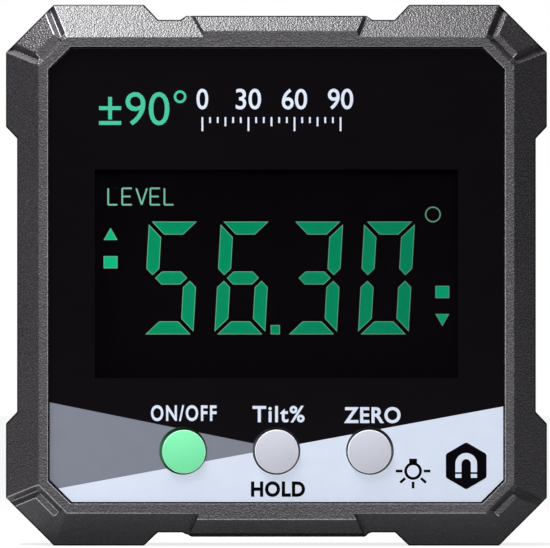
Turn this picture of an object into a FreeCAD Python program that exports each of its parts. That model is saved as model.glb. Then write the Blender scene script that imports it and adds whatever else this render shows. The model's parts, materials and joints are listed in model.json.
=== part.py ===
import FreeCAD, Part

import math
import os
from collections import namedtuple

import Sketcher

# Digital angle box with magnets in its base. Millimetres, +Z up, X across, the front faces -Y.
# The origin is under the middle of the box, on the plane that it stands on.

# Driving dimensions
SIZES = {
    # Outside of the box
    "bay_end_wall": 6.4,
    "board_rear_space": 4.5,
    "corner_cut": 5.3,
    "front_bevel": 3.65,
    "rear_bevel": 2.6,
    "front_shell_depth": 10.8,
    "overrun": 1.0,
    # Set-back middles of the four sides
    "side_notch_depth": 1.25,
    "side_foot": 8.25,
    "side_notch_slope": 1.3,
    "end_foot": 10.0,
    "trench_depth": 1.7,
    "trench_slope": 1.6,
    "trench_width": 2.45,
    "mid_pad_drop": 1.25,
    "mid_pad_slope": 0.65,
    "brow_step": 0.7,
    "brow_end_gap": 0.4,
    "brow_end_slope": 1.1,
    "brow_root": 1.2,
    # Grooves and ledges round the four corner bumpers
    "groove_width": 1.25,
    "groove_low_place": 0.6,
    "groove_depth": 0.52,
    "groove_start": 0.62,
    "ledge_step": 0.56,
    "ledge_width": 0.72,
    "ledge_length": 3.0,
    # Front face
    "bezel_width": 1.05,
    "window_cut": 2.5,
    "panel_recess": 0.5,
    "panel_thickness": 1.2,
    "panel_gap": 0.08,
    "adhesive_thickness": 0.15,
    "adhesive_margin": 0.4,
    "web_thickness": 1.35,
    # Inside of the shells
    "shell_wall": 3.8,
    "cavity_cut": 4.0,
    "rear_wall": 2.0,
    "seal_groove_depth": 0.8,
    "seal_inner_margin": 0.5,
    "seal_width": 0.9,
    # Screws that close the shells
    "housing_screw_inset": 8.5,
    "housing_boss_radius": 2.8,
    "housing_column_radius": 3.2,
    "housing_shank_radius": 1.2,
    "housing_head_radius": 2.1,
    "housing_head_height": 1.8,
    "housing_seat_depth": 9.0,
    "pilot_floor": 2.8,
    "counterbore_radius": 2.5,
    "hole_gap": 0.05,
    "tip_gap": 0.6,
    "recess_depth": 0.9,
    # Display
    "window_side_margin": 5.2,
    "window_top_margin": 13.6,
    "window_button_gap": 8.05,
    "web_opening_margin": 0.75,
    "polarizer_margin": 1.2,
    "polarizer_thickness": 0.2,
    "glass_thickness": 0.7,
    "cell_gap": 0.1,
    "glass_margin": 1.9,
    "rear_glass_low_margin": 0.7,
    "contact_ledge": 2.1,
    "guide_inset": 0.4,
    "holder_wall": 1.3,
    "holder_gap": 0.2,
    "holder_bar": 1.4,
    "holder_back": 0.8,
    "holder_side_ledge": 1.6,
    "zebra_height": 1.8,
    "zebra_gap": 0.1,
    "zebra_side_inset": 1.0,
    "led_half_width": 1.5,
    "led_half_height": 0.7,
    "led_gap": 0.1,
    "led_pitch": 10.0,
    # Display segments
    "segment_width": 1.45,
    "segment_gap": 0.3,
    "point_gap": 0.68,
    "point_size": 1.04,
    "degree_inset": 2.74,
    "degree_drop": 4.96,
    "degree_radius": 0.88,
    "degree_line": 0.15,
    "arrow_inset": 1.7,
    "arrow_half_width": 0.78,
    "arrow_height": 1.36,
    "left_arrow_rise": 3.75,
    "left_square_rise": 0.6,
    "right_arrow_drop": 4.45,
    "right_square_drop": 2.7,
    "square_height": 1.37,
    # Buttons and keypad
    "button_pitch": 10.35,
    "button_margin": 5.85,
    "button_radius": 2.475,
    "button_hole_radius": 2.65,
    "button_crown": 0.28,
    "button_edge": 0.3,
    "flange_radius": 3.4,
    "flange_thickness": 0.7,
    "flange_gap": 0.05,
    "core_radius": 2.8,
    "core_shoulder": 1.65,
    "stem_radius": 1.8,
    "key_travel": 0.55,
    "pill_radius": 1.5,
    "pill_thickness": 0.5,
    "mat_thickness": 0.8,
    "mat_half_height": 3.6,
    "mat_side_margin": 4.1,
    "mat_hole_radius": 2.4,
    "mat_boss_gap": 1.05,
    "web_foot_inner": 3.0,
    "web_ring_inner": 2.2,
    "web_ring_width": 0.5,
    # Circuit board
    "board_standoff": 5.0,
    "board_thickness": 1.2,
    "board_gap": 1.0,
    "board_cut": 12.0,
    "upper_screw_inset": 13.2,
    "upper_screw_edge": 4.2,
    "lower_screw_edge": 7.2,
    "board_boss_radius": 1.8,
    "board_shank_radius": 0.95,
    "board_pilot_floor": 1.0,
    "board_head_radius": 1.8,
    "board_head_height": 1.2,
    "controller_half": 4.5,
    "controller_height": 1.4,
    "controller_lead": 1.1,
    "lead_thickness": 0.25,
    "controller_place": 8.0,
    "controller_level": -5.0,
    "tilt_chip_half": 3.6,
    "tilt_chip_height": 1.8,
    "tilt_chip_place": 8.5,
    "tilt_chip_level": 5.5,
    "crystal_half_width": 2.9,
    "crystal_half_height": 1.3,
    "crystal_thickness": 1.3,
    "crystal_place": 8.0,
    "crystal_level": 6.0,
    "converter_half": 1.7,
    "converter_height": 1.2,
    "converter_inset": 8.2,
    "converter_level": -6.0,
    "smd_half_width": 0.8,
    "smd_half_height": 0.4,
    "smd_thickness": 0.5,
    "smd_pitch": 2.4,
    "smd_level": 14.0,
    # Battery bay
    "cell_radius": 5.25,
    "cell_length": 44.5,
    "cell_edge": 0.4,
    "nub_radius": 1.9,
    "nub_length": 0.8,
    "cell_between_gap": 0.7,
    "cell_gap_round": 0.3,
    "spring_space": 2.1,
    "bay_wall": 2.0,
    "bay_floor": 1.2,
    "bay_side_gap": 0.55,
    "contact_thickness": 0.3,
    "contact_half": 4.0,
    "contact_floor_gap": 1.5,
    "contact_cover_gap": 1.4,
    "tail_half": 0.8,
    "tail_gap": 0.2,
    "spring_wire_radius": 0.2,
    "spring_large_radius": 3.2,
    "spring_small_radius": 1.6,
    "spring_end_gap": 0.05,
    # Battery cover
    "cover_thickness": 1.7,
    "cover_seat_gap": 0.1,
    "cover_side_gap": 0.15,
    "cover_side_lap": 2.2,
    "cover_end_lap": 1.9,
    "cover_corner_cut": 1.6,
    "cover_seal_width": 0.8,
    "cover_seal_margin": 0.15,
    "cover_seal_groove": 0.7,
    "cover_seal_gap": 0.05,
    "ear_radius": 4.2,
    "ear_offset": 4.8,
    "ear_boss_radius": 3.6,
    "ear_boss_height": 1.4,
    "ear_pocket_gap": 0.2,
    "ear_floor_gap": 0.45,
    "insert_boss_radius": 5.4,
    "insert_radius": 1.9,
    "insert_length": 5.0,
    "insert_end_gap": 0.05,
    "insert_boss_floor": 1.85,
    "cover_shank_radius": 1.25,
    "cover_thread_gap": 0.08,
    "cover_shank_length": 6.2,
    "cover_head_radius": 2.2,
    "cover_head_height": 1.5,
    "cover_head_gap": 0.2,
    "washer_radius": 2.2,
    "washer_thickness": 0.3,
    "washer_gap": 0.05,
    # Base
    "magnet_radius": 3.0,
    "magnet_thickness": 2.4,
    "magnet_pocket_gap": 0.05,
    "magnet_recess": 0.05,
    "magnet_wall": 0.5,
    "magnet_groove_gap": 0.7,
    "groove_seam_gap": 0.2,
    "pipe_groove_depth": 2.4,
}

# Part of a bevel's width that comes off the 45 degree corner cut
BEVEL_SHARE = 2 - math.sqrt(2)
HALF_CORNER_ANGLE = math.radians(22.5)
# Arms of a cross recess as shares of the radius of its screw head
RECESS_LONG_SHARE = 0.62
RECESS_WIDE_SHARE = 0.17
# Places and sizes of the digits as shares of the half width and the half height of the window
DIGIT_LEFT_SHARE = -0.7388
DIGIT_PITCH_SHARE = 0.396
DIGIT_WIDTH_SHARE = 0.2801
DIGIT_FOOT_SHARE = -0.5818
DIGIT_HEIGHT_SHARE = 1.084
# Lean of the digits to the right for each unit of height
SLANT_SHARE = 0.0565
DIGITS = ("afgcd", "afedcg", "abgcd", "abcdef")
SPRING_TURNS = 2.5
ARCS_PER_TURN = 4
POINTS_PER_TURN = 24

Circle = namedtuple("Circle", "x z radius")
View = namedtuple("View", "across up")

FRONT_VIEW = View(FreeCAD.Vector(1, 0, 0), FreeCAD.Vector(0, 0, 1))
SIDE_VIEW = View(FreeCAD.Vector(0, 1, 0), FreeCAD.Vector(0, 0, 1))
TOP_VIEW = View(FreeCAD.Vector(1, 0, 0), FreeCAD.Vector(0, 1, 0))
CELL_VIEW = View(FreeCAD.Vector(0, 0, 1), FreeCAD.Vector(1, 0, 0))


class Size:
    """A length as an expression on the sheet's names, with its value as the sheet stands."""

    def __init__(self, text, value):
        self.text = text
        self.value = value

    def __add__(self, other):
        return Size(f"({self.text} + {other.text})", self.value + other.value)

    def __sub__(self, other):
        return Size(f"({self.text} - {other.text})", self.value - other.value)

    def __neg__(self):
        return Size(f"(-{self.text})", -self.value)

    def __mul__(self, ratio):
        return Size(f"({self.text} * {ratio!r})", self.value * ratio)

    def __truediv__(self, ratio):
        return Size(f"({self.text} / {ratio!r})", self.value / ratio)


class Sizes:
    """The spreadsheet of sizes, with each of them as an attribute."""

    def __init__(self, document, table):
        self.sheet = document.addObject("Spreadsheet::Sheet", "sizes")
        self.rows = 0
        for name, value in table.items():
            self.add(name, str(value), value)

    def add(self, name, formula, value):
        """Writes a size on the next row of the sheet, under its own name."""
        self.rows += 1
        self.sheet.set(f"A{self.rows}", name)
        self.sheet.set(f"B{self.rows}", formula)
        self.sheet.setAlias(f"B{self.rows}", name)
        setattr(self, name, Size(f"sizes.{name}", value))

    def derive(self, name, size):
        """Writes a size that is worked out from others."""
        self.add(name, "=" + size.text.replace("sizes.", ""), size.value)


doc = FreeCAD.newDocument("angle_box")
s = Sizes(doc, SIZES)
ZERO = Size("0", 0.0)

# The box is as wide as its batteries and as deep as its stack of panel, board and batteries
s.derive("bay_half_length", (s.cell_length + s.spring_space) / 2 + s.contact_thickness)
s.derive("half_width", s.bay_half_length + s.bay_end_wall)
s.derive("front_stack", s.panel_recess + s.panel_thickness + s.adhesive_thickness + s.web_thickness
         + s.board_standoff + s.board_thickness)
s.derive("rear_stack", s.bay_floor + (s.cell_gap_round + s.cell_radius) * 2 + s.cover_seat_gap
         + s.cover_thickness)
s.derive("half_depth", (s.front_stack + s.board_rear_space + s.rear_stack) / 2)
s.derive("cell_pitch", s.cell_radius * 2 + s.cell_between_gap)
s.derive("bay_half_height", s.cell_pitch / 2 + s.cell_radius + s.bay_side_gap)

# Planes across the depth, from the front to the rear
front = -s.half_depth
panel_front = front + s.panel_recess
panel_back = panel_front + s.panel_thickness
web_front = panel_back + s.adhesive_thickness
web_back = web_front + s.web_thickness
board_front = web_back + s.board_standoff
board_back = board_front + s.board_thickness
parting = front + s.front_shell_depth
rear = s.half_depth
rear_inner = rear - s.rear_wall
cover_back = rear_inner + (s.rear_wall - s.cover_thickness)
cover_seat = cover_back - s.cover_seat_gap
cell_axis = cover_seat - s.cell_gap_round - s.cell_radius
bay_floor_top = cell_axis - s.cell_radius - s.cell_gap_round
bay_floor_bottom = bay_floor_top - s.bay_floor

# Half sizes of the outlines, seen from the front
bezel_half = s.half_width - s.front_bevel
bezel_cut = s.corner_cut - s.front_bevel * BEVEL_SHARE
window_half = bezel_half - s.bezel_width
cavity_half = s.half_width - s.shell_wall
board_half = cavity_half - s.board_gap
end_notch_half = s.half_width - s.corner_cut - s.end_foot
mid_pad_half = end_notch_half - s.trench_slope - s.trench_width - s.mid_pad_slope

# The display window and the row of buttons, from the middle of the front
s.derive("button_level", s.button_margin - window_half)
s.derive("window_half_width", window_half - s.window_side_margin)
window_top = window_half - s.window_top_margin
window_low = s.button_level + s.window_button_gap
s.derive("window_half_height", (window_top - window_low) / 2)
s.derive("window_rise", (window_top + window_low) / 2)
s.derive("digit_left", s.window_half_width * DIGIT_LEFT_SHARE)
s.derive("digit_pitch", s.window_half_width * DIGIT_PITCH_SHARE)
s.derive("digit_width", s.window_half_width * DIGIT_WIDTH_SHARE)
s.derive("digit_foot", s.window_rise + s.window_half_height * DIGIT_FOOT_SHARE)
s.derive("digit_height", s.window_half_height * DIGIT_HEIGHT_SHARE)
doc.recompute()

# The magnets stand in the middle of the feet, between the seam, the pipe groove and the outside
pipe_groove_half = -parting - s.groove_seam_gap
magnet_place = (end_notch_half + s.half_width - s.corner_cut) / 2
front_magnet_depth = parting - s.magnet_wall - s.magnet_radius
rear_magnet_depth = pipe_groove_half + s.magnet_groove_gap + s.magnet_radius

parts = {}


def new_body(name, apart=False):
    """A body under its own name, which may hold solids that stand apart."""
    body = doc.addObject("PartDesign::Body", name)
    body.Label = name
    body.AllowCompound = apart
    parts[name] = body
    return body


def octagon(half_width, half_height, cut):
    """A rectangle about the middle with its corners cut at 45 degrees."""
    near_x = half_width - cut
    near_z = half_height - cut
    return [(half_width, -near_z), (half_width, near_z), (near_x, half_height), (-near_x, half_height),
            (-half_width, near_z), (-half_width, -near_z), (-near_x, -half_height), (near_x, -half_height)]


def rectangle(left, right, low, high):
    """The four corners of a rectangle."""
    return [(left, low), (right, low), (right, high), (left, high)]


def bar(half_width, half_height, x=ZERO, z=ZERO):
    """A rectangle about the point x, z."""
    return rectangle(x - half_width, x + half_width, z - half_height, z + half_height)


def bind(sketch, constraint, expression):
    """Adds a constraint and ties it to an expression of the sheet."""
    index = sketch.addConstraint(constraint)
    sketch.setExpression(f"Constraints[{index}]", expression)


def fix_point(sketch, index, corner, x, z):
    """Holds a point of a sketch at its distances from the sketch's origin."""
    bind(sketch, Sketcher.Constraint("DistanceX", -1, 1, index, corner, x.value), x.text)
    bind(sketch, Sketcher.Constraint("DistanceY", -1, 1, index, corner, z.value), z.text)


def draw_circle(sketch, circle):
    """A circle with its centre and radius bound."""
    centre = FreeCAD.Vector(circle.x.value, circle.z.value, 0)
    index = sketch.addGeometry(Part.Circle(centre, FreeCAD.Vector(0, 0, 1), circle.radius.value))
    fix_point(sketch, index, 3, circle.x, circle.z)
    bind(sketch, Sketcher.Constraint("Radius", index, circle.radius.value), circle.radius.text)


def draw_polygon(sketch, points):
    """A closed run of lines with every corner bound."""
    corners = [FreeCAD.Vector(x.value, z.value, 0) for x, z in points]
    following = corners[1:] + corners[:1]
    lines = [Part.LineSegment(start, end) for start, end in zip(corners, following)]
    first = sketch.addGeometry(lines[0])
    for line in lines[1:]:
        sketch.addGeometry(line)
    for step, (x, z) in enumerate(points):
        after = first + (step + 1) % len(points)
        sketch.addConstraint(Sketcher.Constraint("Coincident", first + step, 2, after, 1))
        fix_point(sketch, first + step, 1, x, z)


def new_sketch(body, name, origin, view):
    """An empty sketch of a body, at an origin and in the plane of a view."""
    plane = [item for item in body.Origin.OriginFeatures if item.Role == "XY_Plane"][0]
    sketch = body.newObject("Sketcher::SketchObject", name)
    sketch.AttachmentSupport = (plane, [""])
    sketch.MapMode = "FlatFace"
    normal = view.across.cross(view.up)
    turn = FreeCAD.Rotation(view.across, view.up, normal, "XYZ")
    sketch.AttachmentOffset = FreeCAD.Placement(FreeCAD.Vector(), turn)
    for axis, place in zip("xyz", origin):
        sketch.setExpression(f"AttachmentOffset.Base.{axis}", place.text)
    return sketch


def draw(body, name, origin, view, loops):
    """A sketch with closed loops, each a circle or a list of corners."""
    sketch = new_sketch(body, name, origin, view)
    for loop in loops:
        if isinstance(loop, Circle):
            draw_circle(sketch, loop)
        else:
            draw_polygon(sketch, loop)
    return sketch


def extrude(kind, body, name, near, far, loops):
    """A pad or pocket of a front view outline between two depths."""
    sketch = draw(body, name + "_outline", (ZERO, near, s.half_width), FRONT_VIEW, loops)
    feature = body.newObject(kind, name)
    feature.Profile = sketch
    feature.setExpression("Length", (far - near).text)
    return feature


def pad(body, name, near, far, *loops):
    """Material from the depth near back to the depth far."""
    feature = extrude("PartDesign::Pad", body, name, near, far, loops)
    feature.Reversed = True
    return feature


def pocket(body, name, near, far, *loops):
    """A cut from the depth near back to the depth far."""
    return extrude("PartDesign::Pocket", body, name, near, far, loops)


def channel(body, name, origin, view, length, *loops):
    """A cut that runs both ways from a sketch in any view."""
    feature = body.newObject("PartDesign::Pocket", name)
    feature.Profile = draw(body, name + "_section", origin, view, loops)
    feature.Midplane = True
    feature.setExpression("Length", length.text)
    return feature


def turned(body, name, origin, view, points):
    """A piece turned about the upright axis of its sketch; points are radius and height."""
    sketch = draw(body, name + "_profile", origin, view, [points])
    feature = body.newObject("PartDesign::Revolution", name)
    feature.Profile = sketch
    feature.ReferenceAxis = (sketch, ["V_Axis"])
    return feature


def bevel(body, name, base, level, size):
    """A chamfer along every edge of the flat face that lies at a depth."""
    doc.recompute()
    names = []
    for number, face in enumerate(base.Shape.Faces, start=1):
        box = face.BoundBox
        if box.YLength < 1e-6 and abs(box.YMin - level.value) < 1e-6:
            names.append(f"Face{number}")
    feature = body.newObject("PartDesign::Chamfer", name)
    feature.Base = (base, names)
    feature.setExpression("Size", size.text)
    return feature


def four_corners(place, level):
    """The four points at the same distance left and right of, above and below the middle."""
    return [(place, level), (-place, level), (place, -level), (-place, -level)]


def circles(places, radius):
    """A circle of one radius at each place."""
    return [Circle(x, z, radius) for x, z in places]


def cross_recess(x, z, head_radius):
    """The outline of a cross recess in a screw head."""
    long = head_radius * RECESS_LONG_SHARE
    wide = head_radius * RECESS_WIDE_SHARE
    return [(x + long, z - wide), (x + long, z + wide), (x + wide, z + wide), (x + wide, z + long),
            (x - wide, z + long), (x - wide, z + wide), (x - long, z + wide), (x - long, z - wide),
            (x - wide, z - wide), (x - wide, z - long), (x + wide, z - long), (x + wide, z - wide)]


housing_screw_place = s.half_width - s.housing_screw_inset
housing_screw_places = four_corners(housing_screw_place, housing_screw_place)
upper_screw_place = board_half - s.upper_screw_inset
upper_screw_level = board_half - s.upper_screw_edge
mat_half_width = s.button_pitch + s.mat_side_margin
lower_screw_place = mat_half_width + s.mat_boss_gap + s.board_boss_radius
lower_screw_level = s.lower_screw_edge - board_half
board_screw_places = [
    (upper_screw_place, upper_screw_level), (-upper_screw_place, upper_screw_level),
    (lower_screw_place, lower_screw_level), (-lower_screw_place, lower_screw_level)]
ear_place = s.bay_half_height + s.ear_offset
cover_screw_places = [(ZERO, ear_place), (ZERO, -ear_place)]
button_places = {"power": -s.button_pitch, "hold": ZERO, "zero": s.button_pitch}
button_holes = circles([(x, s.button_level) for x in button_places.values()], s.button_hole_radius)


def screws(name, places, seat, side, shank, length, head, height):
    """Screws whose heads lie behind the seat and whose shanks run forward from it."""
    body = new_body(name, apart=True)
    pad(body, side + "_shanks", seat - length, seat, *circles(places, shank))
    pad(body, side + "_heads", seat, seat + height, *circles(places, head))
    recesses = [cross_recess(x, z, head) for x, z in places]
    pocket(body, side + "_recesses", seat + height - s.recess_depth, seat + height + s.overrun, *recesses)
    return body


def cut_side_notches(body, near, far):
    """The set-back middles of the left and right sides."""
    inner = s.half_width - s.side_notch_depth
    high = s.half_width - s.corner_cut - s.side_foot
    low = high - s.side_notch_slope
    outer = s.half_width + s.overrun
    right = [(inner, -low), (s.half_width, -high), (outer, -high), (outer, high), (s.half_width, high),
             (inner, low)]
    left = [(-x, z) for x, z in right]
    pocket(body, "side_notches", near - s.overrun, far + s.overrun, right, left)


def cut_end_notches(body, near, far):
    """The stepped middles of the top and the bottom, each with a pad between two trenches."""
    low = s.half_width - s.trench_depth
    middle = s.half_width - s.mid_pad_drop
    outer = s.half_width + s.overrun
    half = [(end_notch_half, s.half_width), (end_notch_half - s.trench_slope, low),
            (mid_pad_half + s.mid_pad_slope, low), (mid_pad_half, middle)]
    mirrored = [(-x, z) for x, z in reversed(half)]
    top = half + mirrored + [(-end_notch_half, outer), (end_notch_half, outer)]
    bottom = [(x, -z) for x, z in top]
    pocket(body, "end_notches", near - s.overrun, far + s.overrun, top, bottom)


def add_brows(body):
    """The raised bevels over the middles of the top and the bottom edge of the bezel."""
    outer = s.half_width - s.mid_pad_drop
    root = bezel_half - s.brow_root
    wide = mid_pad_half - s.brow_end_gap
    narrow = wide - s.brow_end_slope
    upper = [(-narrow, root), (narrow, root), (narrow, bezel_half),
             (wide, outer), (-wide, outer), (-narrow, bezel_half)]
    lower = [(x, -z) for x, z in upper]
    back = front + (outer - bezel_half) + s.brow_step
    pad(body, "brows", front, back, upper, lower)
    crest = bezel_half + s.brow_step
    drop = outer - crest
    section = [(front, crest), (front + drop, outer), (front + drop, outer + s.overrun),
               (front - s.overrun, outer + s.overrun), (front - s.overrun, crest)]
    mirrored = [(y, -z) for y, z in section]
    origin = (ZERO, ZERO, s.half_width)
    channel(body, "brow_bevels", origin, SIDE_VIEW, s.half_width * 2, section, mirrored)


def mitre_view(along_x, along_z, toward_x, toward_z):
    """The plane square to a mitre of the front bevel, with its run and the two directions."""
    radial = FreeCAD.Vector(along_x, 0, along_z)
    rise = math.cos(HALF_CORNER_ANGLE)
    run = (radial + FreeCAD.Vector(0, rise, 0)).normalize()
    across = FreeCAD.Vector(toward_x, 0, toward_z)
    up = run.cross(across)
    if up.y > 0:
        up = -up
    return View(across, up), run


def cut_mitre_groove(body, name, corner, side):
    """One V groove along the mitre at the side, or else at the end, of a corner bumper."""
    near, far = math.cos(HALF_CORNER_ANGLE), math.sin(HALF_CORNER_ANGLE)
    inner = bezel_half - bezel_cut
    right, upper = corner
    if side:
        view, run = mitre_view(right * near, upper * far, -right * far, upper * near)
        place_x, place_z = bezel_half * right, inner * upper
    else:
        view, run = mitre_view(right * far, upper * near, right * near, -upper * far)
        place_x, place_z = inner * right, bezel_half * upper
    mitre_share = math.sqrt(1 + 1 / near ** 2)
    length = s.front_bevel * mitre_share
    middle = (length + s.overrun + s.groove_start) / 2
    origin = (place_x + middle * run.x, front + middle * run.y, place_z + middle * run.z + s.half_width)
    facet_share = math.tan(math.acos((math.sqrt(2) / 2 + 1) / 2) / 2)
    far_low = -s.groove_width * facet_share
    lowest = -s.groove_low_place * facet_share - s.groove_depth
    section = [(ZERO, ZERO), (s.groove_low_place, lowest), (s.groove_width, far_low),
               (s.groove_width, s.overrun), (ZERO, s.overrun)]
    channel(body, name, origin, view, length + s.overrun - s.groove_start, section)


def cut_corner_ledge(body, name, right, upper):
    """The step along the 45 degree edge of the bezel at one corner."""
    outward = FreeCAD.Vector(right, 0, upper).normalize()
    reach = (bezel_half * 2 - bezel_cut) / math.sqrt(2)
    foot = reach + s.ledge_step
    end = foot + s.ledge_width
    depth = front + s.ledge_step + s.ledge_width
    section = [(reach, front), (foot, depth), (end, depth), (end, front - s.overrun),
               (reach, front - s.overrun)]
    view = View(outward, FreeCAD.Vector(0, 1, 0))
    channel(body, name, (ZERO, ZERO, s.half_width), view, s.ledge_length, section)


def cut_corner_grooves(body):
    """Grooves and ledge round each of the four corner bumpers."""
    for right, side_name in ((1, "right"), (-1, "left")):
        for upper, end_name in ((1, "upper"), (-1, "lower")):
            label = f"{end_name}_{side_name}"
            cut_mitre_groove(body, f"{label}_side_groove", (right, upper), True)
            cut_mitre_groove(body, f"{label}_end_groove", (right, upper), False)
            cut_corner_ledge(body, f"{label}_ledge", right, upper)


def cut_magnet_pockets(body, depth):
    """The two round pockets in the base at one depth."""
    radius = s.magnet_radius + s.magnet_pocket_gap
    height = s.magnet_thickness + s.magnet_recess
    places = [Circle(magnet_place, depth, radius), Circle(-magnet_place, depth, radius)]
    channel(body, "magnet_pockets", (ZERO, ZERO, ZERO), TOP_VIEW, height * 2, *places)


def make_front_housing():
    """The front shell with the bezel, the web behind the panel and the screw bosses."""
    body = new_body("front_housing")
    outline = octagon(s.half_width, s.half_width, s.corner_cut)
    block = pad(body, "block", front, parting, outline)
    bevel(body, "front_bevel", block, front, s.front_bevel)
    cut_side_notches(body, front, parting)
    cut_end_notches(body, front, parting)
    add_brows(body)
    cut_corner_grooves(body)
    recess = octagon(window_half, window_half, s.window_cut)
    pocket(body, "panel_recess", front - s.overrun, web_front, recess)
    margin = s.web_opening_margin
    opening = bar(s.window_half_width + margin, s.window_half_height + margin, z=s.window_rise)
    pocket(body, "web_openings", web_front - s.overrun, web_back + s.overrun, opening, *button_holes)
    pocket(body, "cavity", web_back, parting + s.overrun, octagon(cavity_half, cavity_half, s.cavity_cut))
    pad(body, "housing_bosses", web_back, parting, *circles(housing_screw_places, s.housing_boss_radius))
    pad(body, "board_bosses", web_back, board_front, *circles(board_screw_places, s.board_boss_radius))
    pilots = circles(housing_screw_places, s.housing_shank_radius + s.hole_gap)
    pocket(body, "housing_pilots", web_back + s.pilot_floor, parting + s.overrun, *pilots)
    pilots = circles(board_screw_places, s.board_shank_radius + s.hole_gap)
    pocket(body, "board_pilots", web_back + s.board_pilot_floor, board_front + s.overrun, *pilots)
    cut_magnet_pockets(body, front_magnet_depth)


def seal_ring():
    """Outer and inner outline of the seal between the shells."""
    inner = cavity_half + s.seal_inner_margin
    outer = inner + s.seal_width
    inner_cut = s.corner_cut - (s.half_width - inner) * BEVEL_SHARE
    outer_cut = s.corner_cut - (s.half_width - outer) * BEVEL_SHARE
    return octagon(outer, outer, outer_cut), octagon(inner, inner, inner_cut)


def cavity_beside_bay(sign):
    """The cavity above or below the battery bay."""
    near = s.bay_half_height + s.bay_wall
    cut = cavity_half - s.cavity_cut
    points = [(cavity_half, near), (cavity_half, cut), (cut, cavity_half), (-cut, cavity_half),
              (-cavity_half, cut), (-cavity_half, near)]
    return [(x, z * sign) for x, z in points]


def cover_outline(gap):
    """The outline of the battery cover's plate, made larger by a gap."""
    half_length = s.bay_half_length + s.cover_side_lap + gap
    half_height = s.bay_half_height + s.cover_end_lap + gap
    return octagon(half_length, half_height, s.cover_corner_cut + gap * BEVEL_SHARE)


def make_rear_housing():
    """The rear shell with the battery bay, the screw columns and the groove in its base."""
    body = new_body("rear_housing")
    outline = octagon(s.half_width, s.half_width, s.corner_cut)
    block = pad(body, "block", parting, rear, outline)
    bevel(body, "rear_bevel", block, rear, s.rear_bevel)
    cut_side_notches(body, parting, rear)
    cut_end_notches(body, parting, rear)
    cavity = octagon(cavity_half, cavity_half, s.cavity_cut)
    pocket(body, "front_cavity", parting - s.overrun, bay_floor_bottom, cavity)
    pocket(body, "side_cavities", bay_floor_bottom, rear_inner, cavity_beside_bay(1), cavity_beside_bay(-1))
    pad(body, "columns", parting, rear_inner, *circles(housing_screw_places, s.housing_column_radius))
    ear_floor = cover_back - s.ear_boss_height - s.ear_floor_gap
    insert_floor = ear_floor - s.insert_length - s.tip_gap
    pad(body, "insert_bosses", insert_floor - s.insert_boss_floor, rear_inner,
        *circles(cover_screw_places, s.insert_boss_radius))
    bay = bar(s.bay_half_length, s.bay_half_height)
    pocket(body, "battery_bay", bay_floor_top, rear + s.overrun, bay)
    pocket(body, "cover_seat", cover_seat, rear + s.overrun, cover_outline(s.cover_side_gap))
    ears = circles(cover_screw_places, s.ear_radius + s.cover_side_gap)
    pocket(body, "ear_seats", cover_seat, rear + s.overrun, *ears)
    wells = circles(cover_screw_places, s.ear_boss_radius + s.ear_pocket_gap)
    pocket(body, "ear_wells", ear_floor, cover_seat + s.overrun, *wells)
    pocket(body, "insert_bores", insert_floor, ear_floor + s.overrun,
           *circles(cover_screw_places, s.insert_radius + s.hole_gap))
    seat = rear - s.housing_seat_depth
    pocket(body, "counterbores", seat, rear + s.overrun, *circles(housing_screw_places, s.counterbore_radius))
    shafts = circles(housing_screw_places, s.housing_shank_radius + s.hole_gap * 2)
    pocket(body, "screw_holes", parting - s.overrun, seat + s.overrun, *shafts)
    outer, inner = seal_ring()
    pocket(body, "seal_groove", parting - s.overrun, parting + s.seal_groove_depth, outer, inner)
    slots = [rectangle(s.bay_half_length - s.contact_thickness - s.tail_gap, s.bay_half_length,
                       place - s.tail_half - s.tail_gap, place + s.tail_half + s.tail_gap)
             for place in (s.cell_pitch / 2, -s.cell_pitch / 2)]
    pocket(body, "tail_slots", bay_floor_bottom - s.overrun, bay_floor_top + s.overrun, *slots)
    half, depth = pipe_groove_half, s.pipe_groove_depth
    groove = [(-half, ZERO), (ZERO, depth), (half, ZERO), (half, -s.overrun), (-half, -s.overrun)]
    length = s.half_width * 2 + s.overrun * 2
    channel(body, "pipe_groove", (ZERO, ZERO, ZERO), SIDE_VIEW, length, groove)
    cut_magnet_pockets(body, rear_magnet_depth)


def make_panel():
    """The printed window panel and the adhesive sheet behind it."""
    half = window_half - s.panel_gap
    cut = s.window_cut - s.panel_gap * BEVEL_SHARE
    body = new_body("window_panel")
    pad(body, "plate", panel_front, panel_back, octagon(half, half, cut), *button_holes)
    body = new_body("panel_adhesive")
    half = half - s.adhesive_margin
    cut = cut - s.adhesive_margin * BEVEL_SHARE
    margin = s.web_opening_margin
    opening = bar(s.window_half_width + margin, s.window_half_height + margin, z=s.window_rise)
    holes = [Circle(hole.x, hole.z, hole.radius + s.adhesive_margin) for hole in button_holes]
    pad(body, "sheet", panel_back, web_front, octagon(half, half, cut), opening, *holes)


def make_seals():
    """The ring between the shells and the ring under the battery cover."""
    body = new_body("housing_gasket")
    outer, inner = seal_ring()
    pad(body, "ring", parting, parting + s.seal_groove_depth, outer, inner)
    body = new_body("battery_cover_gasket")
    outer, inner = cover_seal_ring()
    near = cover_seat + s.cover_seal_gap
    pad(body, "ring", near, cover_back + s.cover_seal_groove, outer, inner)


def cover_seal_ring():
    """Outer and inner outline of the seal under the battery cover."""
    inner = s.cover_seal_margin
    outer = s.cover_seal_margin + s.cover_seal_width
    return (bar(s.bay_half_length + outer, s.bay_half_height + outer),
            bar(s.bay_half_length + inner, s.bay_half_height + inner))


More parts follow.
